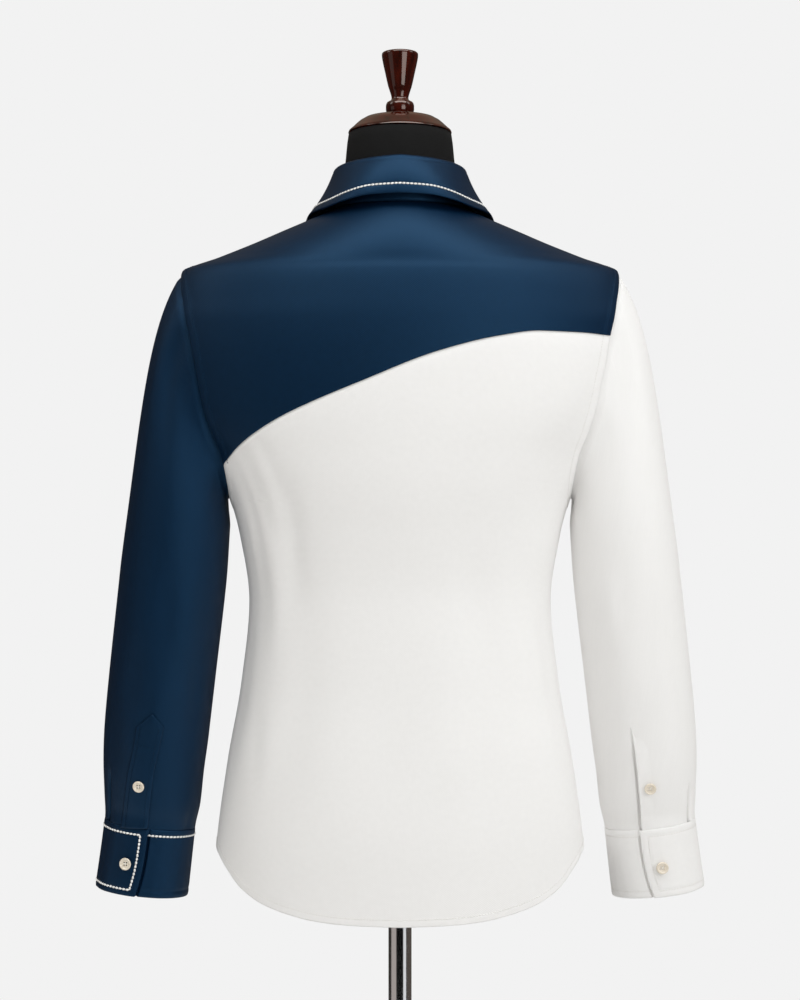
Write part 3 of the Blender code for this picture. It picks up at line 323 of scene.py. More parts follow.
def cloth_piece(name, grids, outward, cloth, node=None, wall=CLOTH_WALL):
    """A sheet from measured grids, welded where they meet. It stands for the solid of its name."""
    bm = bmesh.new()
    layer = bm.loops.layers.uv.new("weave")
    for points, uv in grids:
        rows, columns = points.shape[:2]
        made = bmesh.ops.create_grid(bm, x_segments=columns - 1, y_segments=rows - 1, size=1.0)
        for vert, point, place in zip(made["verts"], points.reshape(-1, 3), uv.reshape(-1, 2)):
            vert.co = point
            for loop in vert.link_loops:
                loop[layer].uv = place
    bmesh.ops.remove_doubles(bm, verts=bm.verts, dist=WELD)
    bm.normal_update()
    agree = sum(face.normal.dot(outward(face.calc_center_median())) for face in bm.faces)
    if agree < 0.0:
        bmesh.ops.reverse_faces(bm, faces=bm.faces)
    piece = finish_object(name + "_cloth", bm, *cloth, [node or name])
    solid = piece.modifiers.new("wall", "SOLIDIFY")
    solid.thickness = wall
    solid.offset = -1.0
    area = sum(face.area for face in piece.data.polygons)
    print(name, "has", len(piece.data.polygons), "cells and", round(area, 4), "m2 on one side")


def away_from_body(point):
    return Vector((point.x, point.y, 0.0))


print("a strip 40 mm long gets", len(spaced(0.040, fine_start=0.012)), "rows of points")


# %% [markdown]
# ## Nodes for the finishes
# Every finish is a small node tree. One helper adds a node, sets its values and links its
# inputs, so each material below reads as a short recipe. Colours are given as the sRGB hex that
# a colour picker shows, and turned to the linear values that the renderer needs.

# %% Material helpers
def linear(colour):
    channels = [int(colour[i:i + 2], 16) / 255.0 for i in (1, 3, 5)]
    return [c / 12.92 if c <= 0.04045 else ((c + 0.055) / 1.055) ** 2.4 for c in channels] + [1.0]


def add_node(tree, kind, settings=None, **inputs):
    """A node with its settings; each input is a value or another node's output."""
    made = tree.nodes.new(kind)
    for key, value in (settings or {}).items():
        setattr(made, key, value)
    for key, value in inputs.items():
        socket = made.inputs[int(key[1:])] if key[0] == "_" else made.inputs[key.replace("_", " ")]
        if isinstance(value, bpy.types.NodeSocket):
            tree.links.new(value, socket)
        else:
            socket.default_value = value
    return made


def new_material(name, **values):
    material = bpy.data.materials.new(name)
    material.use_nodes = True
    shader = material.node_tree.nodes["Principled BSDF"]
    for key, value in values.items():
        shader.inputs[key.replace("_", " ")].default_value = value
    return material, material.node_tree


def join(tree, output, name):
    """Links a node's output to one of the finish's own inputs."""
    tree.links.new(output, tree.nodes["Principled BSDF"].inputs[name])


RGBA = {"data_type": "RGBA"}            # a Mix node for colours: _6 and _7 are its two ends
BANDS_ACROSS = {"bands_direction": "X"}
MULTIPLY_ADD = {"operation": "MULTIPLY_ADD"}
print("a middle grey is", round(linear("#808080")[0], 3), "in linear values")


# %% [markdown]
# ## Cotton twill
# The cloth is a fine, smooth cotton twill. Twill threads pass over two and under one, each row
# one thread further, which draws slanting ribs. Real ribs are about 0.7 mm apart, finer than a
# pixel here, so they are drawn 1.6 mm apart, very faint in colour and bump, with single
# threads across them. A fine noise stands for thicker and thinner threads and a wide one for
# the little unevenness of worn cloth. The white has a weak sheen for the fuzz that catches
# light at grazing angles. The navy's gloss is tinted blue, because light is dyed as it passes
# through the outer fibres.

# %% Twill
TWILL_RIB = 1.6 * MM
THREAD = 0.9 * MM
THICK_THREAD = 1.0 / 170.0              # about 6 mm of thread, thicker or thinner than the rest
WORN_PATCH = 1.0 / 9.0                  # about 110 mm of cloth, a little fuller or flatter
RIB_SLANT = math.radians(52.0)
WAVE_PERIOD = 2.0 * math.pi / 20.0      # of Blender's band wave at scale 1
CLEAR_GLOSS = (1.0, 1.0, 1.0, 1.0)
NAVY_GLOSS = (0.20, 0.54, 1.0, 1.0)     # dyed fibres tint what they reflect


def twill(name, colour, dark, sheen, roughness, rib_depth, contrast, gloss=CLEAR_GLOSS, level=0.5):
    material, tree = new_material(
        name, Roughness=roughness, IOR=1.46, Sheen_Weight=sheen, Sheen_Roughness=0.45,
        Specular_Tint=gloss, Specular_IOR_Level=level)
    place = add_node(tree, "ShaderNodeUVMap", {"uv_map": "weave"}).outputs["UV"]
    turned = add_node(tree, "ShaderNodeMapping", Vector=place,
                      Rotation=(0.0, 0.0, RIB_SLANT)).outputs["Vector"]
    ribs = add_node(tree, "ShaderNodeTexWave", BANDS_ACROSS, Vector=turned, Distortion=0.6,
                    Scale=WAVE_PERIOD / TWILL_RIB, Detail=1.0, Detail_Scale=2.0).outputs["Fac"]
    threads = add_node(tree, "ShaderNodeTexWave", BANDS_ACROSS, Vector=place, Distortion=1.5,
                       Scale=WAVE_PERIOD / THREAD, Detail=2.0, Detail_Scale=0.4).outputs["Fac"]
    slub = add_node(tree, "ShaderNodeTexNoise", Vector=place, Scale=1.0 / THICK_THREAD,
                    Detail=3.0, Roughness=0.6).outputs["Fac"]
    broad = add_node(tree, "ShaderNodeTexNoise", Vector=place, Scale=1.0 / WORN_PATCH,
                     Detail=2.0, Roughness=0.5).outputs["Fac"]
    weave = add_node(tree, "ShaderNodeMath", MULTIPLY_ADD, _0=threads, _1=0.45, _2=ribs).outputs[0]
    tone = add_node(tree, "ShaderNodeMath", MULTIPLY_ADD, _0=weave, _1=contrast,
                    _2=slub).outputs[0]
    tone = add_node(tree, "ShaderNodeMath", MULTIPLY_ADD, _0=broad, _1=0.5, _2=tone).outputs[0]
    share = add_node(tree, "ShaderNodeMapRange", Value=tone, From_Min=0.45, From_Max=1.35)
    mixed = add_node(tree, "ShaderNodeMix", RGBA, Factor=share.outputs["Result"],
                     _6=linear(dark), _7=linear(colour))
    join(tree, mixed.outputs[2], "Base Color")
    fine = add_node(tree, "ShaderNodeBump", Strength=rib_depth, Distance=0.12 * MM,
                    Height=weave).outputs["Normal"]
    soft = add_node(tree, "ShaderNodeBump", Strength=0.20, Distance=2.0 * MM, Height=broad,
                    Normal=fine).outputs["Normal"]
    join(tree, soft, "Normal")
    return material


navy_twill = twill("navy cotton twill", "#021932", "#011328", 0.0, 0.48, 0.30, 0.30,
                   NAVY_GLOSS, 0.75)
white_twill = twill("white cotton twill", "#f7f6f5", "#f2f1f0", 0.04, 0.86, 0.22, 0.15)
NAVY, WHITE = (navy_twill, "dark_twill"), (white_twill, "pale_twill")
SIDES = ((1, "left", NAVY), (-1, "right", WHITE))    # the two arms differ in cloth
print("finishes:", navy_twill.name, "and", white_twill.name)

# %% [markdown]
# ## Back
# The back is one panel, from a curved shirt-tail hem to the swept yoke seam. At the sides it
# ends at the side seam and then the armhole. Its top runs a little way under the yoke, as a
# seam allowance does. Next to the armhole it is a little raised, since the folded seam
# allowance lies beneath and is held by a line of stitches.

# %% Armholes
ARMHOLE_OUT = 0.17                      # metres from the middle plane to the armhole's edge
HOLE_ROWS = 44                          # of points beside an armhole, below the yoke


def hole_angle(z):
    """Angle from the side at which the armhole cuts the body, 0 outside its height."""
    level = np.clip((z - HOLE_MID) / HOLE_HALF, -1.0, 1.0)
    return ARMHOLE_CUT * np.sqrt(1.0 - level * level)


def hole_point(phase, front=False, grow=0.0):
    """Armhole edge: phase 0 at the armpit and 180 at the tip. Angle from centre, height."""
    angle = 90.0 - (ARMHOLE_CUT + np.degrees(grow / ARMHOLE_OUT)) * sin(phase)
    return (180.0 - angle if front else angle), HOLE_MID - (HOLE_HALF + grow) * cos(phase)


def corner_phase(side):
    """Phase at which the yoke seam meets the armhole of a side."""
    def below(phase):
        angle, z = hole_point(phase)
        return z < seam_height(torso(side * angle, z)[..., 0])
    return float(bisect(below, 0.0, 180.0))


def row_shares(position, left_phase, right_phase, low, high):
    """Rows that follow the armholes at both ends, as shares of the way from low to high."""
    def share(phase, column):
        return (hole_point(phase)[1] - low[column]) / (high[column] - low[column])
    return lerp(share(right_phase, 0), share(left_phase, -1), 0.5 * (position + 1.0))


corner_left, corner_right = corner_phase(1), corner_phase(-1)
print("yoke corners at armhole phases", round(corner_left), round(corner_right))

# %% [markdown]
# A stitched edge shows by its relief: the folded allowance raises the cloth a little, the
# stitches pull it down, and between them it puckers. Each point of a panel only needs its
# distance to the edge and its place along it.

# %% Relief of stitched edges
ARMHOLE_STITCH = 8.6 * MM               # from the armhole edge to its line of stitches
HEM_STITCH = 7.0 * MM
SEAM_RISE, HEM_RISE = 0.55 * MM, 0.4 * MM
PUCKER_WAVES = ((3.1 * MM, 0.6), (1.9 * MM, 2.0), (4.7 * MM, 4.0))    # lengths and phases
AT_ONCE = 4096                          # points measured together, to spare memory


def nearest(points, line):
    """Distance of each point to a line of points, and how far along the line that is."""
    flat = points.reshape(-1, 3)
    step = length_along(line)
    near, where = np.empty(len(flat)), np.empty(len(flat))
    for first in range(0, len(flat), AT_ONCE):
        part = flat[first:first + AT_ONCE]
        gaps = ((part[:, None] - line[None]) ** 2).sum(2)
        best = gaps.argmin(1)
        near[first:first + AT_ONCE] = np.sqrt(gaps[np.arange(len(part)), best])
        where[first:first + AT_ONCE] = step[best]
    return near.reshape(points.shape[:-1]), where.reshape(points.shape[:-1])


def pucker(along, size):
    """Uneven little waves along a stitched line."""
    waves = sum(np.sin(along / length + phase) for length, phase in PUCKER_WAVES)
    return size * waves / len(PUCKER_WAVES)


def groove(gap, stitches, depth, half_width):
    """The trough that a line of stitches pulls, at a distance from an edge."""
    return -depth * bell((gap - stitches) / half_width)


def sewn_rim(gap, rim, rim_width, stitches, depth, half_width):
    """A doubled edge: a rounded rim and a groove at its stitches."""
    return rim * smooth_step(gap, 0.0, rim_width) + groove(gap, stitches, depth, half_width)


def stitched_edge(points, line, width, rise, waves):
    """Lift of a panel beside its stitched edge: raised allowance, groove at the stitches."""
    gap, along = nearest(points, line)
    raised = rise * (1.0 - smooth_step(gap, width, width + 2.4 * MM))
    puckered = pucker(along, waves) * bell((gap - width) / (7.0 * MM))
    return raised + groove(gap, width, 0.35 * MM, 1.3 * MM) + puckered


def armhole_edge(points, side, front, waves=0.14 * MM):
    angle, z = hole_point(np.linspace(0.0, 180.0, 260), front)
    return stitched_edge(points, torso(side * angle, z), ARMHOLE_STITCH, SEAM_RISE, waves)


def hem_edge(points, first, last, count):
    angles = np.linspace(first, last, count)
    line = torso(angles, hem_height(np.abs(angles)))
    return stitched_edge(points, line, HEM_STITCH, HEM_RISE, 0.22 * MM)


print("armhole stitches", round(1000 * ARMHOLE_STITCH, 1), "mm from the edge")

# %% Back panel
YOKE_LAP = 5.0 * MM                     # the back runs this far under the yoke
TUCK_IN = 1.3 * MM                      # and lies this much deeper there


def seam_top(position):
    """Height at which a column of the back meets the yoke seam."""
    def below(z):
        angle = position * (90.0 - hole_angle(z))
        return z < seam_height(torso(angle, z)[..., 0])
    return bisect(below, ARMPIT_Z, TIP_Z)


def back_grid():
    position = spaced(0.42, fine_start=0.016, fine_end=0.016) * 2.0 - 1.0
    low = spaced(0.40, fine_start=0.012)[:-1, None]
    high = np.linspace(0.0, 1.0, HOLE_ROWS)[:, None]
    hem = hem_height(np.abs(position) * 90.0)
    top = seam_top(position)
    shares = row_shares(position, high * corner_left, high * corner_right,
                        ARMPIT_Z + 0.0 * top, top)
    lap = top + np.linspace(0.001, YOKE_LAP, 5)[:, None]
    z = np.concatenate((lerp(hem, ARMPIT_Z, low), lerp(ARMPIT_Z, top, shares), lap))
    return position * (90.0 - hole_angle(z)), z, top


angle, z, top = back_grid()
points, normal = body_cloth(angle, z)
lift = -TUCK_IN * smooth_step(z - top, -1.6 * MM, 0.6 * MM)
for side in (1, -1):
    lift = lift + armhole_edge(points, side, False)
lift = lift + hem_edge(points, -90.0, 90.0, 300)
cloth_piece("back", [measured(points + normal * lift[..., None])], away_from_body, WHITE)

# %% [markdown]
# ## Yoke
# One piece covers both shoulders. Behind, it falls to the swept seam, and in front it passes
# the top of the shoulder by a few centimetres. It is made of two grids: one up the back to the
# level of the shoulder tips, and one from there to the neck that is wider, as it also has the
# strips in front of the shoulders. They share a row of points and are welded there.

# %% Yoke panel
FRONT_CORNER = lerp(corner_right, 180.0, 0.5)    # armhole phase of the front yoke seam
FRONT_NECK_ANGLE = 115.0
TUBE_TOP_Z = float(SECTIONS["z"][-1])
YOKE_LIFT = 0.25 * MM                   # the yoke lies on the other panels' allowances


def front_seam_angle(z, phase=FRONT_CORNER, neck_angle=FRONT_NECK_ANGLE):
    """Angle of the yoke's front seam at a height, or of a line between it and the ridge."""
    angle, low = hole_point(phase, front=True)
    share = np.clip((z - low) / (NECK_TOP_Z - low), 0.0, 1.0)
    return lerp(angle, neck_angle, share)


def neck_top(angle_at, low):
    """Height at which a line up the surface meets the neck seam."""
    def outside(z):
        point = torso(angle_at(z), z)
        depth = np.where(point[..., 1] >= 0.0, NECK_BACK, NECK_FRONT)
        return (point[..., 0] / NECK_HALF) ** 2 + (point[..., 1] / depth) ** 2 > 1.0
    return bisect(outside, low, TUBE_TOP_Z)


def yoke_grids():
    position = spaced(0.44, fine_start=0.016, fine_end=0.016) * 2.0 - 1.0
    rows = spaced(0.17, fine_start=0.008)[:, None]
    bottom = seam_top(position)
    shares = row_shares(position, lerp(corner_left, 180.0, rows), lerp(corner_right, 180.0, rows),
                        bottom, TIP_Z + 0.0 * bottom)
    z = lerp(bottom, TIP_Z, shares)
    lower = (position * (90.0 - hole_angle(z)), z)
    strip = spaced(0.05, fine_start=0.012, cell=3.0 * MM)[::-1][:-1]
    ends = np.full(len(strip), 1.0)
    p = np.concatenate((-ends, position, ends))
    share = np.concatenate((strip, 0.0 * position, strip[::-1]))
    phase = lerp(180.0, FRONT_CORNER, share)

    def angle_at(z):
        front = front_seam_angle(z, phase, lerp(90.0, FRONT_NECK_ANGLE, share))
        return np.where(share > 0.0, np.sign(p) * front, 90.0 * p)

    low = np.where(share > 0.0, hole_point(phase, front=True)[1], TIP_Z)
    z = lerp(low, neck_top(angle_at, low), np.linspace(0.0, 1.0, 44)[:, None])
    return lower, (angle_at(z), z)


grids = []
for angle, z in yoke_grids():
    points, normal = body_cloth(angle, z)
    lift = np.full(z.shape, YOKE_LIFT)
    for side in (1, -1):
        for front in (False, True):
            lift = lift + armhole_edge(points, side, front, 0.12 * MM)
    grids.append(points + normal * lift[..., None])
strip = (grids[1].shape[1] - grids[0].shape[1]) // 2
lower = measured(grids[0])
upper = measured(grids[1], start=np.pad(lower[1][-1], ((strip, strip), (0, 0)), mode="edge"))
cloth_piece("yoke", [lower, upper], lambda p: Vector((p.x, p.y, 0.08)), NAVY)

# %% [markdown]
# ## Fronts
# The fronts are not seen in the photograph, so they are plain: two panels that meet the yoke,
# the armholes and the side seams, the left one lapping over the right by the width of the
# button band.

# %% Front panels
BAND_EDGE = 0.017                       # the fronts run this far past centre front
RAMP_FROM, RAMP_TO = 0.042, 0.020       # where the upper front rises over the lower one
LAP_RISE = 1.7 * MM
FRONT_HEM_Z = 0.744
ZERO_COLUMN = 8                         # from the centre edge, where the weave starts


def front_edge(z):
    corner_z = hole_point(FRONT_CORNER, front=True)[1]
    return np.where(z >= corner_z, front_seam_angle(z), 90.0 + hole_angle(z))


def x_angle(x, z):
    """Angle on the front at which the surface has this x."""
    return 180.0 - np.degrees(np.arcsin(np.clip(x / half_width(z), -1.0, 1.0)))


def front_grid():
    """Columns from the outer edge to the ramp by share, then at even x."""
    share = spaced(0.20, fine_start=0.014)
    even_x = joined((RAMP_FROM, RAMP_TO, 9), (RAMP_TO, -BAND_EDGE, 15))[1:]
    corner_z = float(hole_point(FRONT_CORNER, front=True)[1])
    shares = np.concatenate((share, np.ones(len(even_x))))
    xs = np.concatenate((np.zeros(len(share)), even_x))
    even = np.arange(len(xs)) >= len(share)

    def angle_at(z):
        first = lerp(front_edge(z), x_angle(RAMP_FROM, z), shares)
        return np.where(even, x_angle(xs, z), first)

    top = neck_top(angle_at, np.full(len(xs), corner_z - 0.02))
    hem = hem_height(angle_at(np.full(len(xs), FRONT_HEM_Z)))
    low = lerp(hem, ARMPIT_Z, spaced(0.38, fine_start=0.012)[:-1, None])
    phases = np.linspace(0.0, FRONT_CORNER, HOLE_ROWS)[:-1, None]
    middle = hole_point(phases, front=True)[1] + 0.0 * hem
    high = lerp(corner_z, top, np.linspace(0.0, 1.0, 26)[:, None])
    z = np.concatenate((low, middle, high))
    return angle_at(z), z


def band_rise(x):
    return LAP_RISE * smooth_step(-x, -RAMP_FROM, -RAMP_TO)


for side, name, _ in SIDES:
    angle, z = front_grid()
    points, normal = body_cloth(side * angle, z)
    lift = band_rise(torso(angle, z)[..., 0]) if side > 0 else np.zeros(z.shape)
    lift = lift + armhole_edge(points, side, True) + hem_edge(points, side * 90, side * 187, 200)
    points = points + normal * lift[..., None]
    grid = measured(points, points.shape[1] - ZERO_COLUMN)
    cloth_piece("front_" + name, [grid], away_from_body, WHITE)

# %% [markdown]
# ## Button band
# The band is a folded strip sewn on the left front, so it lies on that panel and is made from
# the same points, moved out.

# %% Button band sheet
BAND_LIFT = LAP_RISE + 1.5 * MM
BAND_STITCH = 6.0 * MM
BAND_FLAT = 9.0 * MM                    # half of its middle part, between the lines of stitches
BELOW_NECK_Z = 1.35                     # the search for the neck seam starts here
band_x = joined((BAND_EDGE, BAND_FLAT, 7), (BAND_FLAT, -BAND_FLAT, 6), (-BAND_FLAT, -BAND_EDGE, 7))
neck_z = neck_top(lambda z: x_angle(band_x, z), np.full(len(band_x), BELOW_NECK_Z))
band_top = float(np.min(neck_z)) - 2.0 * MM


def band_surface(x, z, lift=0.0):
    """Points on the button band."""
    edge = np.minimum(np.abs(x - BAND_EDGE), np.abs(x + BAND_EDGE))
    rim = sewn_rim(edge, 0.35 * MM, 2.0 * MM, BAND_STITCH, 0.35 * MM, 1.2 * MM)
    return body_cloth(x_angle(x, z), z, BAND_LIFT + rim + lift)


z = np.linspace(0.7450, band_top, 190)[:, None]
points, _ = band_surface(*np.broadcast_arrays(band_x, z))
cloth_piece("band", [measured(points)], away_from_body, WHITE, "front_placket")

# %% [markdown]
# ## Sleeves
# A sleeve is a tube that starts at the oval armhole and turns down into the arm. The tube is
# lofted: each thread line leaves the armhole outward and comes in along the arm, as a cubic
# Bezier curve. Below that, the arm is a row of leaning ovals. The body's edge lies on
# top of the seam, so the sleeve begins a few millimetres inside the armhole, under it.

# %% Arm tube
ARM_RINGS = table(
    "z x half_width half_depth y",
    (0.7300, 0.2727, 0.0486, 0.0380, -0.0195), (0.7415, 0.2711, 0.0484, 0.0380, -0.0190),
    (0.8120, 0.2621, 0.0474, 0.0390, -0.0170), (0.8380, 0.2594, 0.0503, 0.0450, -0.0155),
    (0.8692, 0.2579, 0.0524, 0.0495, -0.0130), (0.9129, 0.2539, 0.0545, 0.0535, -0.0100),
    (0.9670, 0.2478, 0.0550, 0.0565, -0.0060), (1.0668, 0.2361, 0.0553, 0.0595, -0.0010),
    (1.1280, 0.2300, 0.0535, 0.0600, 0.0000), (1.1400, 0.2288, 0.0530, 0.0600, 0.0000),
)
arm_x, arm_half, arm_depth, arm_y = (
    curve(ARM_RINGS["z"], ARM_RINGS[name]) for name in ("x", "half_width", "half_depth", "y"))
BICEPS_Z, CUFF_TOP_Z, CUFF_END_Z = 1.128, 0.812, 0.7415
TILT = 6.8                              # degrees that the rings lean
CUFF_LAP = 30.0                         # degrees by which a cuff laps over itself
CUFF_TURN = 360.0 + CUFF_LAP
CUFF_EDGE_BEHIND = {1: (94.0, 87.5), -1: (109.0, 100.5)}
LAP_LIFT = 2.1 * MM
CAP_LEAVE, CAP_ARRIVE = 0.22, 0.43      # how far the cap runs straight out and straight in


def arm(turn, z):
    """The left arm's smooth tube. Turn is 0 outside, 90 behind and 180 inside."""
    across = arm_half(z) * cos(turn)
    y = arm_y(z) + arm_depth(z) * sin(turn)
    return np.stack((arm_x(z) + across * cos(TILT), y, z + across * sin(TILT)), -1)


def arm_normal(turn, z):
    around = arm(turn + 0.5, z) - arm(turn - 0.5, z)
    down = arm(turn, z - 0.5 * MM) - arm(turn, z + 0.5 * MM)
    return unit(np.cross(down, around))


def mirror(side):
    """Turns points of the left arm into points of the arm on this side."""
    return np.array((side, 1.0, 1.0))


def cap(turn, t):
    """The sleeve cap, from the armhole at t = 0 to the arm's first ring at t = 1."""
    angle, hole_z = hole_point(180.0 - turn)
    start = torso(angle, hole_z)
    end = arm(turn, BICEPS_Z + 0.0 * turn)
    height = 0.5 * (1.0 + cos(turn))
    leave = unit(np.stack((0.70 + 0.16 * height, -0.42 * sin(turn),
                           -0.25 - 0.90 * height * height), -1))
    arrive = unit(arm(turn, BICEPS_Z - 5.0 * MM + 0.0 * turn) - end)
    reach = np.linalg.norm(end - start, axis=-1, keepdims=True)
    first = start + leave * CAP_LEAVE * reach
    second = end - arrive * CAP_ARRIVE * reach
    t = t[..., None]
    u = 1.0 - t
    return u ** 3 * start + 3 * u * u * t * first + 3 * u * t * t * second + t ** 3 * end


print("sleeve cap", round(1000 * (HOLE_MID + HOLE_HALF - BICEPS_Z)), "mm high")

# %% [markdown]
# ### Creases of the sleeves
# Long soft folds run down each arm, a few short ones sit under the cap and at the bend of the
# elbow, and two pleats a side take the sleeve's width into the cuff. Each sleeve has its own.

# %% Arm creases and pleats
PLEATS = table(
    "side top_turn end_turn reach depth",
    (1, 37.5, 30.5, 0.062, 0.0064), (-1, 38.0, 37.0, 0.044, 0.0080),
    (1, -38.0, -34.0, 0.054, 0.0048), (-1, -39.0, -35.0, 0.050, 0.0048),
)
PLEAT_FOLD, PLEAT_HOLLOW = 2.5, 6.5     # half widths of the fold and of the hollow beside it
ARM_CREASES = table(
    "side t0 t1 z0 z1 width depth",
    (1, 62, 70, 1.100, 0.945, 20, -0.0016), (1, 118, 112, 1.110, 0.960, 18, -0.0018),
    (1, 92, 95, 1.120, 0.950, 18, 0.0016), (-1, 120, 112, 1.110, 0.940, 20, -0.0018),
    (-1, 75, 84, 1.080, 0.940, 20, 0.0014), (1, 74, 60, 1.040, 0.900, 10, 0.0010),
    (1, 132, 140, 1.020, 0.880, 10, 0.0012), (1, 40, 48, 0.960, 0.850, 12, 0.0012),
    (-1, 60, 54, 1.020, 0.880, 12, 0.0010), (-1, 138, 128, 0.980, 0.860, 12, 0.0010),
    (-1, 100, 106, 1.110, 1.000, 9, 0.0008), (1, 100, 88, 0.980, 0.890, 9, -0.0008),
    (1, -60, -70, 1.080, 0.930, 16, 0.0016), (-1, -64, -72, 1.090, 0.920, 16, 0.0016),
    (1, -110, -118, 1.040, 0.900, 14, 0.0012), (-1, -106, -116, 1.030, 0.890, 14, 0.0012),
    (1, 150, 150, 0.850, 0.790, 7, 0.0009), (-1, 152, 152, 0.845, 0.790, 7, 0.0009),
)


SLIT_LINE = table("z x", (0.8000, 0.2505), (0.8125, 0.2487), (0.8380, 0.2460),
                  (0.8720, 0.2425), (0.9020, 0.2385), (0.9190, 0.2350))
SLIT_GAP, SLIT_DEPTH = 1.1 * MM, 3.2 * MM
SLIT_TOP_Z = float(SLIT_LINE["z"][-1])
SLIT_OPEN_Z = 0.8850                    # the slit is fully open below this
FLAP_RISE = 1.9 * MM                    # the sleeve rises with the cuff's upper end
FLAP_START, FLAP_END = (-66.0, -42.0), (1.0, -4.0)    # degrees from its lapping edge


def rows_for(side, rows):
    """The rows of a table that belong to one side."""
    for its_side, *values in zip(*rows.values()):
        if its_side == side:
            yield values


def slit_dip(turn, z):
    """The narrow gap along the open edge of the right sleeve's slit."""
    x, _, height = np.moveaxis(arm(turn, z), -1, 0)
    off = x - np.interp(height, SLIT_LINE["z"], SLIT_LINE["x"]) + SLIT_GAP
    behind = smooth_step(sin(turn), 0.0, 0.3)
    open_share = smooth_step(height, SLIT_TOP_Z, SLIT_OPEN_Z)
    return -SLIT_DEPTH * bell(off / SLIT_GAP) * behind * open_share


def arm_relief(side, turn, z):
    flap = turn_off(turn, CUFF_EDGE_BEHIND[side][0])
    flap = smooth_step(flap, *FLAP_START) * smooth_step(flap, *FLAP_END)
    out = FLAP_RISE * flap * smooth_step(z, CUFF_TOP_Z + 16.0 * MM, CUFF_TOP_Z + 1.0 * MM)
    for top_turn, end_turn, reach, depth in rows_for(side, PLEATS):
        share = np.clip((CUFF_TOP_Z + reach - z) / reach, 0.0, 1.0)
        off = turn_off(turn, lerp(top_turn, end_turn, share)) * np.sign(end_turn)
        hollow = bell(off / PLEAT_HOLLOW) * smooth_step(off, 2.0, -1.0)
        folded = bell(off / PLEAT_FOLD) + 0.35 * hollow
        out = out - depth * smooth_step(share, 0.0, 0.5) * folded
    if side < 0:
        out = out + slit_dip(turn, z)
    for t0, t1, z0, z1, width, depth in rows_for(side, ARM_CREASES):
        along = (z0 - z) / (z0 - z1)
        off = turn_off(turn, lerp(t0, t1, along)) / width
        out = out - depth * bell(off) * fade(along)
    return out


def arm_cloth(side, turn, z, lift=0.0):
    """Points and normals of a sleeve below its cap."""
    normal = arm_normal(turn, z)
    point = arm(turn, z) + normal * (arm_relief(side, turn, z) + lift)[..., None]
    return point * mirror(side), normal * mirror(side)


def on_arm(side, x, z, lift=0.0):
    """The back of a sleeve at a distance x from the middle plane and a height z."""
    ring = z + 0.0 * x
    for _ in range(8):
        ring = z - (x - arm_x(ring)) * math.tan(math.radians(TILT))
    share = (x - arm_x(ring)) / (arm_half(ring) * cos(TILT))
    turn = np.degrees(np.arccos(np.clip(share, -1.0, 1.0)))
    return arm_cloth(side, turn, ring, lift)


print(len(PLEATS["side"]), "pleats and", len(ARM_CREASES["side"]), "creases on the arms")


# %% Creases of the caps
CAP_CREASES = table(
    "side turn length width depth at",
    (1, 62, 0.060, 7, 0.0012, 0.030), (1, 84, 0.050, 6, 0.0009, 0.022),
    (1, 108, 0.060, 8, -0.0010, 0.030), (1, 140, 0.050, 9, 0.0012, 0.020),
    (1, 70, 0.150, 11, 0.0022, 0.055), (1, 46, 0.150, 10, -0.0016, 0.060),
    (-1, 74, 0.130, 11, 0.0014, 0.050), (-1, 50, 0.130, 11, -0.0010, 0.055),
    (-1, 66, 0.060, 8, 0.0010, 0.028), (-1, 96, 0.050, 7, -0.0008, 0.024),
    (-1, 144, 0.050, 9, 0.0012, 0.020), (1, -80, 0.060, 9, 0.0011, 0.028),
    (-1, -84, 0.060, 9, 0.0011, 0.028), (1, -140, 0.050, 9, 0.0012, 0.020),
    (-1, -138, 0.050, 9, 0.0012, 0.020),
)
PUCKER_STEP = 0.12 / 57.3               # metres of seam for each degree round the armhole


def cap_relief(side, turn, along):
    """Short creases that start at the armhole, and small puckers along its seam."""
    out = pucker(turn * PUCKER_STEP, 0.22 * MM) * bell(along / 0.010)
    for middle, length, width, depth, at in rows_for(side, CAP_CREASES):
        off = turn_off(turn, middle) / width
        out = out - depth * bell(off) * bell((along - at) / (0.5 * length))
    return out


print(len(CAP_CREASES["side"]), "creases under the caps")

# %% Sleeve sheets
CAP_DIP = 2.4 * MM                      # the sleeve starts this far under the body's edge
CUFF_LAP_IN = 5.0 * MM                  # and ends this far inside its cuff
CUFF_CLEAR = 1.9 * MM                   # where it is drawn in this much
HOLE_CLEAR = 1.5 * MM                   # inside the armhole it lies this far below the body


def sleeve_columns():
    """Turns round the arm, closer together at the pleats and at the slit."""
    return joined((-180.0, -46.0, 42), (-46.0, -24.0, 21), (-24.0, 24.0, 16), (24.0, 46.0, 21),
                  (46.0, 101.0, 18), (101.0, 116.0, 22), (116.0, 180.0, 21))


def cap_points(side, turn):
    """The sleeve from inside the armhole to the arm's first ring, as a left sleeve."""
    rows = []
    for grow in (4.0 * MM, 2.5 * MM, 1.0 * MM):
        angle, z = hole_point(180.0 - turn, grow=grow)
        rows.append(torso(angle, z) - torso_normal(angle, z) * HOLE_CLEAR)
    turn, t = np.broadcast_arrays(turn, (np.linspace(0.0, 1.0, 61)[:-1] ** 1.25)[:, None])
    caps = cap(turn, t)
    along = length_along(caps)
    outward = np.stack((0.2 + 0.0 * t, 0.3 * sin(turn), 0.2 * cos(turn)), -1)
    normal = unit(np.cross(np.gradient(caps, axis=1), np.gradient(caps, axis=0)))
    normal = normal * np.sign(np.sum(normal * outward))
    arm_part = arm_relief(side, turn, BICEPS_Z + (1.0 - t) * 0.1) * smooth_step(t, 0.55, 1.0)
    dip = CAP_DIP * (1.0 - smooth_step(along, 0.0, 11.0 * MM))
    lift = arm_part + cap_relief(side, turn, along) - dip
    return np.concatenate((np.stack(rows), caps + normal * lift[..., None]))


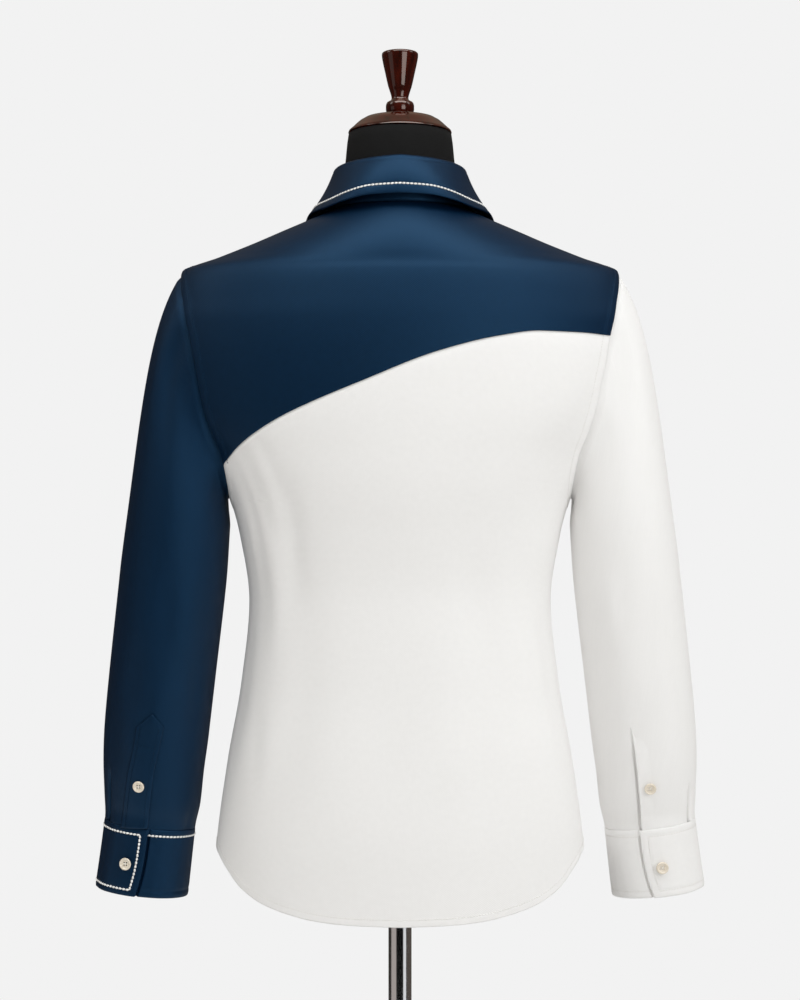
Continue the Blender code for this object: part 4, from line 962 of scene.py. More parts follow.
def sleeve_points(side):
    turn = sleeve_columns()
    steps = spaced(0.32, fine_end=0.012, cell=3.6 * MM)
    low = lerp(BICEPS_Z, CUFF_TOP_Z - CUFF_LAP_IN, steps)[:, None]
    inside = smooth_step(low, CUFF_TOP_Z + 1.0 * MM, CUFF_TOP_Z - 2.0 * MM)
    arms, _ = arm_cloth(side, *np.broadcast_arrays(turn, low), -CUFF_CLEAR * inside)
    return np.concatenate((cap_points(side, turn) * mirror(side), arms))


def away_from_arm(side):
    def outward(point):
        x, y = side * float(arm_x(point.z)), float(arm_y(point.z))
        return Vector((point.x - x, point.y - y, 0.0))
    return outward


for side, name, cloth in SIDES:
    grid = measured(sleeve_points(side))
    cloth_piece("sleeve_" + name, [grid], away_from_arm(side), cloth)

# %% [markdown]
# ## Cuffs
# A cuff is a doubled band round the wrist. Its ends lap and button at the back. It is
# thicker than the sleeve and its edges are a little rounded. Beside the lapping edge the lower
# layer dips a little, so that the edge throws a thin shadow.

# %% Cuff sheets
CUFF_WALL = 1.6 * MM
CUFF_RADIUS = 0.043                     # turns degrees round a cuff into metres
CUFF_STITCH = 7.0 * MM
LAP_FROM, LAP_TO = 322.0, 352.0         # where the upper end rises over the lower one
LAP_GROOVE = 3.2 * MM                   # the lower layer dips beside the lapping edge
GROOVE_RUN, GROOVE_HALF = CUFF_LAP + 1.4, 1.3


def cuff_surface(side, run, level, lift=0.0):
    """A cuff: run is degrees from its inner end, level 0 at the top and 1 at the wrist."""
    z = lerp(CUFF_TOP_Z, CUFF_END_Z, level)
    turn = lerp(*CUFF_EDGE_BEHIND[side], level ** 3) - CUFF_LAP + run
    rise = LAP_LIFT * smooth_step(run, LAP_FROM, LAP_TO)
    height = (CUFF_TOP_Z - CUFF_END_Z) * np.minimum(level, 1.0 - level)
    end = np.radians(CUFF_TURN - run) * CUFF_RADIUS
    rim = sewn_rim(np.minimum(height, end), 0.35 * MM, 2.5 * MM, CUFF_STITCH, 0.40 * MM, 1.4 * MM)
    waves = pucker(np.radians(run) * CUFF_RADIUS, 0.18 * MM)
    dip = LAP_GROOVE * bell((run - GROOVE_RUN) / GROOVE_HALF)
    dip = dip * lerp(0.3, 1.0, smooth_step(level, 0.07, 0.14))    # weaker at the top edge
    normal = arm_normal(turn, z)
    out = rise + rim + waves - dip + lift
    return (arm(turn, z) + normal * out[..., None]) * mirror(side), normal * mirror(side)


run = joined((0.0, 26.0, 11), (26.0, 36.0, 21), (36.0, 372.0, 136), (372.0, CUFF_TURN, 15))
level = spaced(CUFF_TOP_Z - CUFF_END_Z, 0.012, 0.012, 2.4 * MM)[:, None]
for side, name, cloth in SIDES:
    points, _ = cuff_surface(side, *np.broadcast_arrays(run, level))
    cloth_piece("cuff_" + name, [measured(points)], away_from_arm(side), cloth, wall=CUFF_WALL)

# %% [markdown]
# ## Sleeve plackets
# Above each cuff the sleeve is slit so that the hand can pass. The left slit is covered by a
# tower placket, a strip with a pointed top. The right one only has a plain lapping edge, which
# stands a little open at the slit and merges into the sleeve on its other side.

# %% Placket strips
TOWER = table(
    "z inner outer",
    (0.8125, 0.2586, 0.2863), (0.8380, 0.2560, 0.2835), (0.8720, 0.2510, 0.2778),
    (0.9020, 0.2440, 0.2705), (0.9192, 0.2398, 0.2680), (0.9328, 0.2508, 0.2514),
)
PLAIN = table(
    "z inner outer",
    (0.8085, 0.2492, 0.2708), (0.8380, 0.2460, 0.2675), (0.8720, 0.2425, 0.2640),
    (0.9020, 0.2385, 0.2600), (0.9190, 0.2350, 0.2570),
)
STRIP_LIFT = 1.5 * MM
MERGED, SLIT_OPEN = -0.2 * MM, 2.4 * MM  # the plain slit's edge stands open, the rest lies flat


def strip_surface(side, shape, across, z, lift=0.0):
    """A placket: across runs from 0 at its inner edge to 1 at its outer one."""
    inner = np.interp(z, shape["z"], shape["inner"])
    outer = np.interp(z, shape["z"], shape["outer"])
    width = outer - inner
    if shape is TOWER:
        edge = np.minimum(across, 1.0 - across) * width
        rise = STRIP_LIFT + sewn_rim(edge, 0.3 * MM, 1.6 * MM, 3.0 * MM, 0.3 * MM, 1.0 * MM)
    else:
        free = smooth_step(across, 0.95, 0.0) * smooth_step(z, SLIT_TOP_Z, 0.8900)
        rise = lerp(MERGED, SLIT_OPEN, free ** 2 * smooth_step(z, 0.8095, 0.8230))
        rise = rise + SLIT_DEPTH * bell((across * width + SLIT_GAP) / SLIT_GAP)
    return on_arm(side, lerp(inner, outer, across), z, rise + lift)


tower_rows = joined((TOWER["z"][0], TOWER["z"][-2], 52), (TOWER["z"][-2], TOWER["z"][-1], 9))
plain_rows = np.linspace(PLAIN["z"][0], PLAIN["z"][-1], 60)
for (side, name, cloth), shape, rows in zip(SIDES, (TOWER, PLAIN), (tower_rows, plain_rows)):
    across, z = np.broadcast_arrays(np.linspace(0.0, 1.0, 24), rows[:, None])
    points, _ = strip_surface(side, shape, across, z)
    cloth_piece("sleeve_placket_" + name, [measured(points)], lambda p: Vector((0.0, 1.0, 0.0)),
                cloth)

# %% [markdown]
# ## Collar
# A shirt collar has two pieces. The stand is a low band round the neck, and the leaf is sewn
# to its top, rolls over and falls outside it. The leaf's section is followed
# point by point: up from the stand, round the fold, and down to its edge.

# %% Collar curves
STAND = table("angle half depth rise", (0, 0.0625, 0.0660, 0.0432),
              (90, 0.0625, 0.0660, 0.0360), (180, 0.0625, 0.0650, 0.0270))
stand_half, stand_depth, stand_rise = (
    curve(STAND["angle"], STAND[name]) for name in ("half", "depth", "rise"))
LEAF_EDGE = table(
    "angle x y z",
    (0, 0.0000, 0.0830, 1.4560), (20, 0.0295, 0.0805, 1.4547), (40, 0.0560, 0.0700, 1.4505),
    (60, 0.0775, 0.0470, 1.4462), (80, 0.0935, 0.0140, 1.4452), (90, 0.0970, -0.0030, 1.4434),
    (100, 0.1003, -0.0230, 1.4355), (120, 0.0955, -0.0540, 1.3980),
    (140, 0.0800, -0.0722, 1.3720), (168, 0.0520, -0.0862, 1.3450),
)
leaf_x, leaf_y, leaf_z = (curve(LEAF_EDGE["angle"], LEAF_EDGE[name]) for name in "xyz")
LEAF_BOW = table(                       # full behind and hollow at the sides
    "angle out",
    (0, 0.0020), (25, 0.0018), (50, -0.0010), (80, -0.0025), (120, -0.0020), (168, 0.0010),
)
leaf_bow = curve(LEAF_BOW["angle"], LEAF_BOW["out"])
STAND_JOIN = 0.88                       # share of the stand's height where the leaf is sewn on
STAND_LAP = 12.0                        # degrees by which the stand laps at the front
ROLL = 3.6 * MM                         # radius of the leaf's fold
LEAF_END = 168.0
LEAF_STITCH = 9.5 * MM
LEVEL = np.array((1.0, 1.0, 0.0))       # leaves only the level part of a direction
print("the leaf reaches", round(1000 * float(leaf_x(100.0))), "mm to each side")

# %% Collar stand
STAND_LIFT = 1.7 * MM                   # its left end lies on its right end


def neck_point(angle):
    """The neck seam at an angle seen from above."""
    x = NECK_HALF * sin(angle)
    c = cos(angle)
    y = np.where(c >= 0.0, NECK_BACK, NECK_FRONT) * c

    def inside(z):
        s = np.clip(np.abs(x) / half_width(z), 0.0, 1.0)
        depth = np.where(y >= 0.0, back_depth(z), front_depth(z))
        return depth * np.sqrt(1.0 - s * s) * (1.0 + fullness(z) * s * s) > np.abs(y)

    return np.stack((x, y, bisect(inside, ARMPIT_Z, TUBE_TOP_Z + 0.0 * x)), -1)


def stand_point(angle, up):
    low = neck_point(angle)
    around = from_centre(angle)
    high = np.stack((stand_half(around) * sin(angle), stand_depth(around) * cos(angle),
                     low[..., 2] + stand_rise(around)), -1)
    return lerp(low, high, np.asarray(up)[..., None])


def stand_normal(angle, up):
    around = stand_point(angle + 0.5, up) - stand_point(angle - 0.5, up)
    rise = stand_point(angle, 1.0 + 0.0 * angle) - stand_point(angle, 0.0 * angle)
    return unit(np.cross(rise, around))


def stand_sheet():
    turns = np.linspace(-180.0 - STAND_LAP, 180.0 + STAND_LAP, 193)
    angle, up = np.broadcast_arrays(turns, np.linspace(0.0, STAND_JOIN, 12)[:, None])
    lift = STAND_LIFT * smooth_step(angle, 180.0 - 2.2 * STAND_LAP, 180.0 - 1.1 * STAND_LAP)
    points = stand_point(angle, up) + stand_normal(angle, up) * lift[..., None] * LEVEL
    clear = lerp(0.3 * MM, 1.3 * MM, smooth_step(np.abs(angle), 80.0, 130.0))
    points[..., 2] += clear * (1.0 - up)
    return points


cloth_piece("collar_stand", [measured(stand_sheet())], away_from_body, NAVY)


# %% Collar leaf
def leaf_top(angle):
    """The stand's upper edge and the level direction away from it."""
    above = 1.0 + 0.0 * angle
    return stand_point(angle, above), unit(stand_normal(angle, above) * LEVEL)


def leaf_frame(angle):
    """For each column of the leaf: its fold's end, its edge, and the outward direction."""
    def edge_at(a):
        b = np.minimum(np.abs(a), LEAF_END)
        return np.stack((np.sign(a) * leaf_x(b), leaf_y(b), leaf_z(b)), -1)

    top, out = leaf_top(angle)
    hang = top + 2.0 * out * ROLL
    edge = edge_at(angle)
    outward = unit(np.cross(edge_at(angle + 1.0) - edge_at(angle - 1.0), edge - hang))
    outward = outward * np.where(np.sum(outward * out, -1) < 0.0, -1.0, 1.0)[..., None]
    return hang, edge, outward


def leaf_fall(angle, down, lift=0.0):
    """The outer fall of the leaf: down is 0 at the fold and 1 at the edge."""
    hang, edge, outward = leaf_frame(angle)
    gap = (1.0 - down) * np.linalg.norm(edge - hang, axis=-1)
    bow = leaf_bow(np.abs(angle)) * 4.0 * down * (1.0 - down)
    rim = sewn_rim(gap, 0.3 * MM, 2.0 * MM, LEAF_STITCH, 0.35 * MM, 1.6 * MM)
    out_by = (bow + rim + lift)[..., None]
    return lerp(hang, edge, down[..., None]) + outward * out_by, outward


def leaf_sheet():
    angle = np.linspace(-LEAF_END, LEAF_END, 197)
    top, out = leaf_top(angle)
    upward = np.array((0.0, 0.0, 1.0))
    seam = stand_point(angle, STAND_JOIN + 0.0 * angle) + 0.3 * MM * upward
    rows = [lerp(seam, top, share) for share in np.linspace(0.0, 1.0, 4)[:-1]]
    for turn in np.linspace(0.0, 180.0, 11):
        way = upward * sin(turn) - out * cos(turn)
        rows.append(top + (out + way) * ROLL)
    for down in 1.0 - spaced(0.045, fine_start=0.014, cell=2.4 * MM)[::-1][1:]:
        rows.append(leaf_fall(angle, down + 0.0 * angle)[0])
    return np.stack(rows)


def off_the_stand(p):
    """The leaf's outer fall faces outward; its short inner rise is left out of the count."""
    far = math.hypot(p.x, p.y) - NECK_HALF
    return Vector((p.x, p.y, 0.0)) * (1.0 if far > 5.0 * MM else 0.0)


cloth_piece("collar_leaf", [measured(leaf_sheet())], off_the_stand, NAVY, wall=CUFF_WALL)

# %% [markdown]
# ## Thread finishes
# Sewing thread is spun polyester: matt, with a faint twist. The decorative chain stitch on the
# collar and left cuff is thick off-white thread. Everywhere else the stitches match the
# cloth and only show by their relief.

# %% Thread materials
FIBRE = 0.5 * MM


def thread(name, colour, twist, sheen, gloss=CLEAR_GLOSS):
    material, tree = new_material(name, Roughness=0.6, IOR=1.5, Sheen_Weight=sheen,
                                  Specular_Tint=gloss)
    place = add_node(tree, "ShaderNodeTexCoord").outputs["Object"]
    fibre = add_node(tree, "ShaderNodeTexNoise", Vector=place, Scale=1.0 / FIBRE,
                     Detail=2.0).outputs["Fac"]
    mixed = add_node(tree, "ShaderNodeMix", RGBA, Factor=fibre, _6=linear(twist),
                     _7=linear(colour))
    join(tree, mixed.outputs[2], "Base Color")
    bump = add_node(tree, "ShaderNodeBump", Strength=0.4, Distance=0.1 * MM, Height=fibre)
    join(tree, bump.outputs["Normal"], "Normal")
    return material


chain_thread = thread("off-white spun thread", "#ffffff", "#f6f4ef", 0.10)
navy_thread = thread("navy spun thread", "#061d35", "#04172b", 0.0, NAVY_GLOSS)
white_thread = thread("white spun thread", "#f1f0ee", "#e8e6e2", 0.05)
print("threads ready")

# %% [markdown]
# ## Lines of stitches
# A stitch is a short, plump loop of thread lying on the cloth. Each is a small sphere with few
# faces, stretched along the seam, and a whole line is one mesh. The line is walked at even
# steps, the stitch length, and every stitch is turned to the line and to the surface.

# %% Stitch lines
def walk(points, normals, pitch):
    """Even steps along a line: places, directions and normals."""
    lengths = length_along(points)
    count = max(int(lengths[-1] / pitch), 1)
    at = (np.arange(count) + 0.5) * lengths[-1] / count
    half = 0.3 * pitch

    def pick(values, where):
        where = np.clip(where, 0.0, lengths[-1])
        return np.stack([np.interp(where, lengths, values[:, k]) for k in range(3)], -1)

    way = unit(pick(points, at + half) - pick(points, at - half))
    return pick(points, at), way, unit(pick(normals, at))


def stitch_mesh():
    """One stitch of size 1: a ball with few faces, its poles at the two ends."""
    bm = bmesh.new()
    bmesh.ops.create_uvsphere(bm, u_segments=6, v_segments=4, radius=0.5,
                              matrix=Matrix.Rotation(math.pi / 2, 4, "Y"))
    return new_mesh("stitch", bm)


stitch_form = stitch_mesh()


def add_stitches(bm, points, normals, pitch, length, width, height, skew=0.0):
    """Copies of the stitch along a line, each turned to the line and the surface."""
    for place, way, normal in zip(*walk(points, normals, pitch)):
        across = unit(np.cross(normal, way))
        turned = unit(way * math.cos(skew) + across * math.sin(skew))
        across = np.cross(normal, turned)
        sides = Matrix((turned * length, across * width, normal * height)).transposed()
        copy = stitch_form.copy()
        copy.transform(Matrix.Translation(Vector(place)) @ sides.to_4x4())
        bm.from_mesh(copy)
        bpy.data.meshes.remove(copy)


def stitch_piece(name, lines, kind, material, slot):
    """All lines of one kind of stitching on a piece, as one object."""
    bm = bmesh.new()
    for points, normals in lines:
        add_stitches(bm, points, normals, *kind)
    bmesh.ops.recalc_face_normals(bm, faces=bm.faces)
    print(name, "has", len(bm.faces) // len(stitch_form.polygons), "stitches")
    finish_object(name, bm, material, slot, [])


#           pitch      length     width      height     skew
CHAIN = (3.9 * MM, 3.8 * MM, 2.4 * MM, 1.7 * MM, 0.10)
TOPSTITCH = (3.0 * MM, 2.5 * MM, 0.75 * MM, 0.6 * MM, 0.0)
print("a stitch has", len(stitch_form.polygons), "faces")


# %% Chain stitch on the collar and the left cuff
CHAIN_INSET = 6.5 * MM
LEAF_MARGIN = 4.0                       # degrees between the leaf's ends and its chain stitch


def leaf_line(angle, down=1.0):
    """A line on the leaf, down to its stitches or to a share of the way there."""
    hang, edge, _ = leaf_frame(angle)
    stitches = 1.0 - LEAF_STITCH / np.linalg.norm(edge - hang, axis=-1)
    return leaf_fall(angle, down * stitches, 0.45 * MM)


def cuff_line(side, gap, lift, bottom_from):
    """A line inside the top, the lapping end and the bottom of a cuff, from run bottom_from."""
    level = gap / (CUFF_TOP_Z - CUFF_END_Z)
    last = CUFF_TURN - math.degrees(gap / CUFF_RADIUS)
    run = np.concatenate((np.linspace(2.0, last, 300), np.full(40, last),
                          np.linspace(last, bottom_from, 300)))
    down = np.concatenate((np.full(300, level), np.linspace(level, 1.0 - level, 40),
                           np.full(300, 1.0 - level)))
    return cuff_surface(side, run, down, lift)


last = LEAF_END - LEAF_MARGIN
leaf_lines = [leaf_line(np.linspace(-last, last, 400))]
leaf_lines += [leaf_line(np.full(60, end), np.linspace(0.08, 1.0, 60)) for end in (-last, last)]
cuff_lines = [cuff_line(1, CHAIN_INSET, 0.5 * MM, 150.0)]
stitch_piece("collar_chain_stitch", leaf_lines, CHAIN, chain_thread, "dark_twill")
stitch_piece("cuff_left_chain_stitch", cuff_lines, CHAIN, chain_thread, "dark_twill")


# %% Matching topstitches
WHITE_LIFT, NAVY_LIFT, STRIP_STITCH_LIFT = 0.30 * MM, 0.50 * MM, 0.20 * MM
TOWER_SIDES, TOWER_REACH = (0.1688, 0.8312), (0.8145, 0.9180)    # shares across, and heights
TOWER_BAR_Z, TOWER_BAR_SLOPE = 0.8961, 0.0062    # the stitches across the tower's top


def beside_hole(side, front, first, last):
    """The line of stitches on the body beside the armhole, between two phases."""
    angle, z = hole_point(np.linspace(first, last, 300), front)
    edge = torso(side * angle, z)
    inward = unit(np.cross(torso_normal(side * angle, z), np.gradient(edge, axis=0)))
    middle = torso(side * (180.0 if front else 0.0) + 0.0 * z, z)
    inward = inward * np.sign(np.sum(inward * (middle - edge)))
    return to_body(edge + inward * ARMHOLE_STITCH)


navy_lines, white_lines = [], []
for side, corner in ((1, corner_left), (-1, corner_right)):
    for front, seam in ((False, corner), (True, FRONT_CORNER)):
        white_lines.append(body_cloth(*beside_hole(side, front, 4.0, seam - 1.0), WHITE_LIFT))
        navy_lines.append(body_cloth(*beside_hole(side, front, seam + 1.0, 179.0), NAVY_LIFT))
angle = np.linspace(-184.0, 176.0, 900)
hem_stitches = hem_height(from_centre(angle)) + HEM_STITCH
white_lines.append(body_cloth(angle, hem_stitches, WHITE_LIFT))
z = np.linspace(0.747, band_top - 1.0 * MM, 300)
for x in (BAND_EDGE - BAND_STITCH, BAND_STITCH - BAND_EDGE):
    white_lines.append(band_surface(x + 0.0 * z, z, 0.25 * MM))
z = np.linspace(*TOWER_REACH, 80)
for across in TOWER_SIDES:
    navy_lines.append(strip_surface(1, TOWER, across + 0.0 * z, z, STRIP_STITCH_LIFT))
across = np.linspace(0.12, 0.88, 30)
bar = TOWER_BAR_Z + TOWER_BAR_SLOPE * across
navy_lines.append(strip_surface(1, TOWER, across, bar, STRIP_STITCH_LIFT))
white_lines.append(cuff_line(-1, CUFF_STITCH, 0.35 * MM, 2.0))
stitch_piece("white_topstitch", white_lines, TOPSTITCH, white_thread, "pale_twill")
stitch_piece("navy_topstitch", navy_lines, TOPSTITCH, navy_thread, "dark_twill")

# %% [markdown]
# ## Buttons
# Shirt buttons are turned discs with a raised rim, a dished middle and four holes, sewn on with
# thread. One button is spun from its profile, the holes are cut with a Boolean, and the mesh
# is copied to every place.

# %% Button shape
BUTTON_PROFILE = table(
    "r h",
    (0.0, 0.60), (0.52, 0.60), (0.62, 0.66), (0.72, 0.86), (0.82, 1.0), (0.92, 0.96),
    (1.0, 0.78), (1.0, 0.50), (0.95, 0.30), (0.80, 0.22), (0.0, 0.20),
)
HOLE_TURNS = (45.0, 135.0, 225.0, 315.0)
HOLE_OUT, HOLE_RADIUS = 0.30, 0.135     # shares of the button's radius
BUTTON_THICK = 0.45                     # the profile's height 1, as a share of the radius


def spin_profile(radii, heights, steps):
    """A closed body of revolution round Z from a profile that starts and ends on it."""
    bm = bmesh.new()
    line = [bm.verts.new((float(r), 0.0, float(h))) for r, h in zip(radii, heights)]
    edges = [bm.edges.new(pair) for pair in zip(line, line[1:])]
    bmesh.ops.spin(bm, geom=line + edges, cent=(0, 0, 0), axis=(0, 0, 1),
                   angle=2.0 * math.pi, steps=steps, use_merge=True)
    bmesh.ops.remove_doubles(bm, verts=bm.verts, dist=1e-5 * max(1.0, float(max(radii))))
    bmesh.ops.recalc_face_normals(bm, faces=bm.faces)
    return bm


def button_mesh():
    """A button of radius 1 with four real holes."""
    disc = spin_profile(BUTTON_PROFILE["r"], BUTTON_PROFILE["h"] * BUTTON_THICK, 32)
    holes = bmesh.new()
    for turn in HOLE_TURNS:
        place = Matrix.Translation((HOLE_OUT * cos(turn), HOLE_OUT * sin(turn), 0.2))
        bmesh.ops.create_cone(holes, cap_ends=True, segments=12, radius1=HOLE_RADIUS,
                              radius2=HOLE_RADIUS, depth=1.0, matrix=place)
    forms = [bpy.data.objects.new("button form", new_mesh("button form", bm))
             for bm in (disc, holes)]
    for made in forms:
        collection.objects.link(made)
    cut = forms[0].modifiers.new("holes", "BOOLEAN")
    cut.object, cut.operation, cut.solver = forms[1], "DIFFERENCE", "EXACT"
    drilled = forms[0].evaluated_get(bpy.context.evaluated_depsgraph_get())
    result = bpy.data.meshes.new_from_object(drilled)
    for made in forms:
        bpy.data.objects.remove(made, do_unlink=True)
    return result


button_form = button_mesh()
print("button form:", len(button_form.polygons), "faces")

# %% [markdown]
# The buttons are cream polyester with a faint cloudy grain, polished, so the rim catches a
# small highlight. They stay as shown, buttoned.

# %% Button finish and places
CLOUD = 4.0 * MM
THREAD_HEIGHT = 0.29                    # where the thread lies in the dish, in radii
BUTTON_SUNK = 2.4 * MM                  # from the top of a button to the cloth below it


def cream_polyester():
    material, tree = new_material(
        "cream polyester", Roughness=0.22, IOR=1.55, Coat_Weight=0.3, Coat_Roughness=0.08)
    place = add_node(tree, "ShaderNodeTexCoord").outputs["Object"]
    cloud = add_node(tree, "ShaderNodeTexNoise", Vector=place, Scale=1.0 / CLOUD, Detail=4.0,
                     Distortion=1.5).outputs["Fac"]
    mixed = add_node(tree, "ShaderNodeMix", RGBA, Factor=cloud, _6=linear("#e2d6c2"),
                     _7=linear("#f6ecdd"))
    join(tree, mixed.outputs[2], "Base Color")
    return material


polyester = cream_polyester()


def place_button(name, place, radius):
    """A button, with the crossed threads that hold it."""
    centre, normal = (Vector(value) for value in place)
    across = Vector((0.0, 0.0, 1.0)).cross(normal).normalized()
    along = normal.cross(across)
    turn = Matrix((across * radius, along * radius, normal * radius)).transposed().to_4x4()
    matrix = Matrix.Translation(centre) @ turn
    bm = bmesh.new()
    bm.from_mesh(button_form)
    bm.transform(matrix)
    piece = finish_object(name + "_disc", bm, polyester, "button_plastic", [name])
    piece.data.set_sharp_from_angle(angle=math.radians(35.0))
    threads = bmesh.new()
    for start in HOLE_TURNS[:2]:
        out = Vector((HOLE_OUT * cos(start), HOLE_OUT * sin(start), 0.0))
        up = Vector((0.0, 0.0, THREAD_HEIGHT))
        line = np.array([matrix @ (up + out), matrix @ (up - out)])
        add_stitches(threads, line, np.array([normal, normal]), 1.0, 0.56 * radius, 0.09 * radius,
                     0.10 * radius)
    finish_object(name + "_disc_thread", threads, chain_thread, "button_plastic", [])


ARM_BUTTONS = (
    ("button_cuff_left", 1, 0.2808, 0.7762, 0.0063, 4.6 * MM),
    ("button_sleeve_left", 1, 0.2663, 0.8580, 0.0060, 4.1 * MM),
    ("button_cuff_right", -1, 0.2690, 0.7726, 0.0063, 4.6 * MM),
    ("button_sleeve_right", -1, 0.2555, 0.8558, 0.0060, 3.7 * MM),
)
FRONT_BUTTON_Z = (1.352, 1.262, 1.177, 1.092, 1.007, 0.922, 0.837)
for name, side, x, z, radius, top in ARM_BUTTONS:
    place = on_arm(side, np.array(x), np.array(z), np.array(top - BUTTON_SUNK))
    place_button(name, place, radius)
for number, z in enumerate(FRONT_BUTTON_Z, start=1):
    place = band_surface(np.array(0.0), np.array(z), np.array(-0.2 * MM))
    place_button("button_front_%d" % number, place, 0.0060)
print(len(ARM_BUTTONS) + len(FRONT_BUTTON_Z), "buttons placed")

# %% [markdown]
# ## The dress form
# The form is a foam bust covered in black knitted jersey. It fills the yoke from inside and
# ends in a neck, which shows above the collar. Its torso keeps clear of the cloth, except under
# the yoke, where the cloth rests on it. A finer copy of the solid's shape is made from
# the same sections.

# %% Jersey
JERSEY_ROW = 1.3 * MM


def jersey():
    material, tree = new_material(
        "black knitted jersey", Roughness=0.9, IOR=1.45, Specular_IOR_Level=0.32,
        Sheen_Weight=0.01, Sheen_Roughness=0.5)
    place = add_node(tree, "ShaderNodeTexCoord").outputs["Object"]
    loops = add_node(tree, "ShaderNodeTexWave", {"bands_direction": "Z"}, Vector=place,
                     Scale=WAVE_PERIOD / JERSEY_ROW, Distortion=2.0, Detail=2.0).outputs["Fac"]
    mixed = add_node(tree, "ShaderNodeMix", RGBA, Factor=loops, _6=linear("#090909"),
                     _7=linear("#111111"))
    join(tree, mixed.outputs[2], "Base Color")
    bump = add_node(tree, "ShaderNodeBump", Strength=0.2, Distance=0.2 * MM, Height=loops)
    join(tree, bump.outputs["Normal"], "Normal")
    return material


black_jersey = jersey()
print("covered in", black_jersey.name)

# %% Form
FORM_SHOULDER, NECK_FOOT = 0.200, 0.0595
NECK = table("z radius", (1.4575, 0.0592), (1.4800, 0.0576), (1.5000, 0.0568), (1.5200, 0.0549),
             (1.5294, 0.0535), (1.5306, 0.0520))
CLEAR_BELOW, CLEAR_YOKE, CLEAR_FRONT = 8.0 * MM, 0.8 * MM, 5.0 * MM   # inside the cloth's wall
CLOTH_DEPTH = 1.2 * MM


def form_point(angle, z):
    """The form's torso, set in from the cloth."""
    rise = 2.0 * MM

    def inset(size, least):
        slope = (size(z + rise) - size(z - rise)) / (2.0 * rise)
        clear = CLOTH_DEPTH + lerp(CLEAR_BELOW, least, smooth_step(z, 1.28, 1.392))
        return size(z) - clear * np.hypot(1.0, slope)

    s, c = sin(angle), cos(angle)
    half = np.minimum(inset(half_width, CLEAR_YOKE), FORM_SHOULDER)
    depth = np.where(c >= 0.0, inset(back_depth, CLEAR_YOKE), inset(front_depth, CLEAR_FRONT))
    x, y = half * s, depth * c * (1.0 + fullness(z) * s * s)
    widen = np.maximum(1.0, NECK_FOOT / np.hypot(x, y))
    return np.stack((x * widen, y * widen, z + 0.0 * s), -1)


def form_rings():
    angle = np.linspace(0.0, 360.0, 129)[:-1]
    torso_z = np.concatenate((np.linspace(0.815, 1.34, 60), np.linspace(1.345, 1.4505, 40)))
    rings = list(form_point(*np.broadcast_arrays(angle, torso_z[:, None])))
    for z, radius in zip(NECK["z"], NECK["radius"]):
        rings.append(np.stack((radius * sin(angle), radius * cos(angle), z + 0.0 * angle), -1))
    return rings


def make_form():
    """A closed circle, drawn up ring by ring."""
    rings = form_rings()
    bm = bmesh.new()
    verts = bmesh.ops.create_circle(bm, cap_ends=True, segments=len(rings[0]), radius=0.1)["verts"]
    for vert, point in zip(verts, rings[0]):
        vert.co = point
    edges = list(bm.edges)
    for ring in rings[1:]:
        grown = bmesh.ops.extrude_edge_only(bm, edges=edges)["geom"]
        fresh = {item for item in grown if isinstance(item, bmesh.types.BMVert)}
        edges = [item for item in grown
                 if isinstance(item, bmesh.types.BMEdge) and set(item.verts) <= fresh]
        verts = [next(edge.other_vert(vert) for edge in vert.link_edges
                      if edge.other_vert(vert) in fresh) for vert in verts]
        for vert, point in zip(verts, ring):
            vert.co = point
    bmesh.ops.contextual_create(bm, geom=edges)
    bmesh.ops.recalc_face_normals(bm, faces=bm.faces)
    piece = finish_object("form_bust_jersey", bm, black_jersey, "black_jersey", ["form_bust"])
    piece.data.set_sharp_from_angle(angle=math.radians(50.0))
    print("form:", len(piece.data.polygons), "faces")


make_form()

# %% [markdown]
# ## Turned wood
# The cap and finial are turned from dark mahogany and lacquered. A lathe makes bodies of
# revolution, so each is a profile, spun round. The lacquer is a clear coat over dark, nearly
# black red-brown grain.

# %% Cap and finial
GRAIN_ACROSS, GRAIN_ALONG = 1.0 / 120.0, 1.0 / 12.0    # about 8 mm wide and 83 mm long


def mahogany():
    material, tree = new_material(
        "lacquered mahogany", Roughness=0.12, IOR=1.5, Coat_Weight=1.0, Coat_Roughness=0.03,
        Coat_IOR=1.52, Coat_Tint=(1.0, 0.74, 0.58, 1.0))
    place = add_node(tree, "ShaderNodeTexCoord").outputs["Object"]
    scale = (1.0 / GRAIN_ACROSS, 1.0 / GRAIN_ACROSS, 1.0 / GRAIN_ALONG)
    long = add_node(tree, "ShaderNodeMapping", Vector=place, Scale=scale).outputs["Vector"]
    grain = add_node(tree, "ShaderNodeTexNoise", Vector=long, Scale=1.0, Detail=2.0,
                     Roughness=0.5, Distortion=0.5).outputs["Fac"]
    share = add_node(tree, "ShaderNodeMapRange", Value=grain, From_Min=0.25, From_Max=0.80)
    mixed = add_node(tree, "ShaderNodeMix", RGBA, Factor=share.outputs["Result"],
                     _6=linear("#200502"), _7=linear("#471206"))
    join(tree, mixed.outputs[2], "Base Color")
    return material


def smooth_profile(radii, heights, count):
    """More points along a turned profile, rounding its corners a little."""
    length = length_along(np.stack((radii, heights), -1))
    at = np.linspace(0.0, length[-1], count)
    return curve(length, radii)(at), curve(length, heights)(at)


def turned_piece(name, profile, material, slot, node, steps=96, count=0):
    radii, heights = profile["r"], profile["z"]
    if count:
        radii, heights = smooth_profile(radii, heights, count)
    piece = finish_object(name, spin_profile(radii, heights, steps), material, slot, [node])
    piece.data.set_sharp_from_angle(angle=math.radians(48.0))


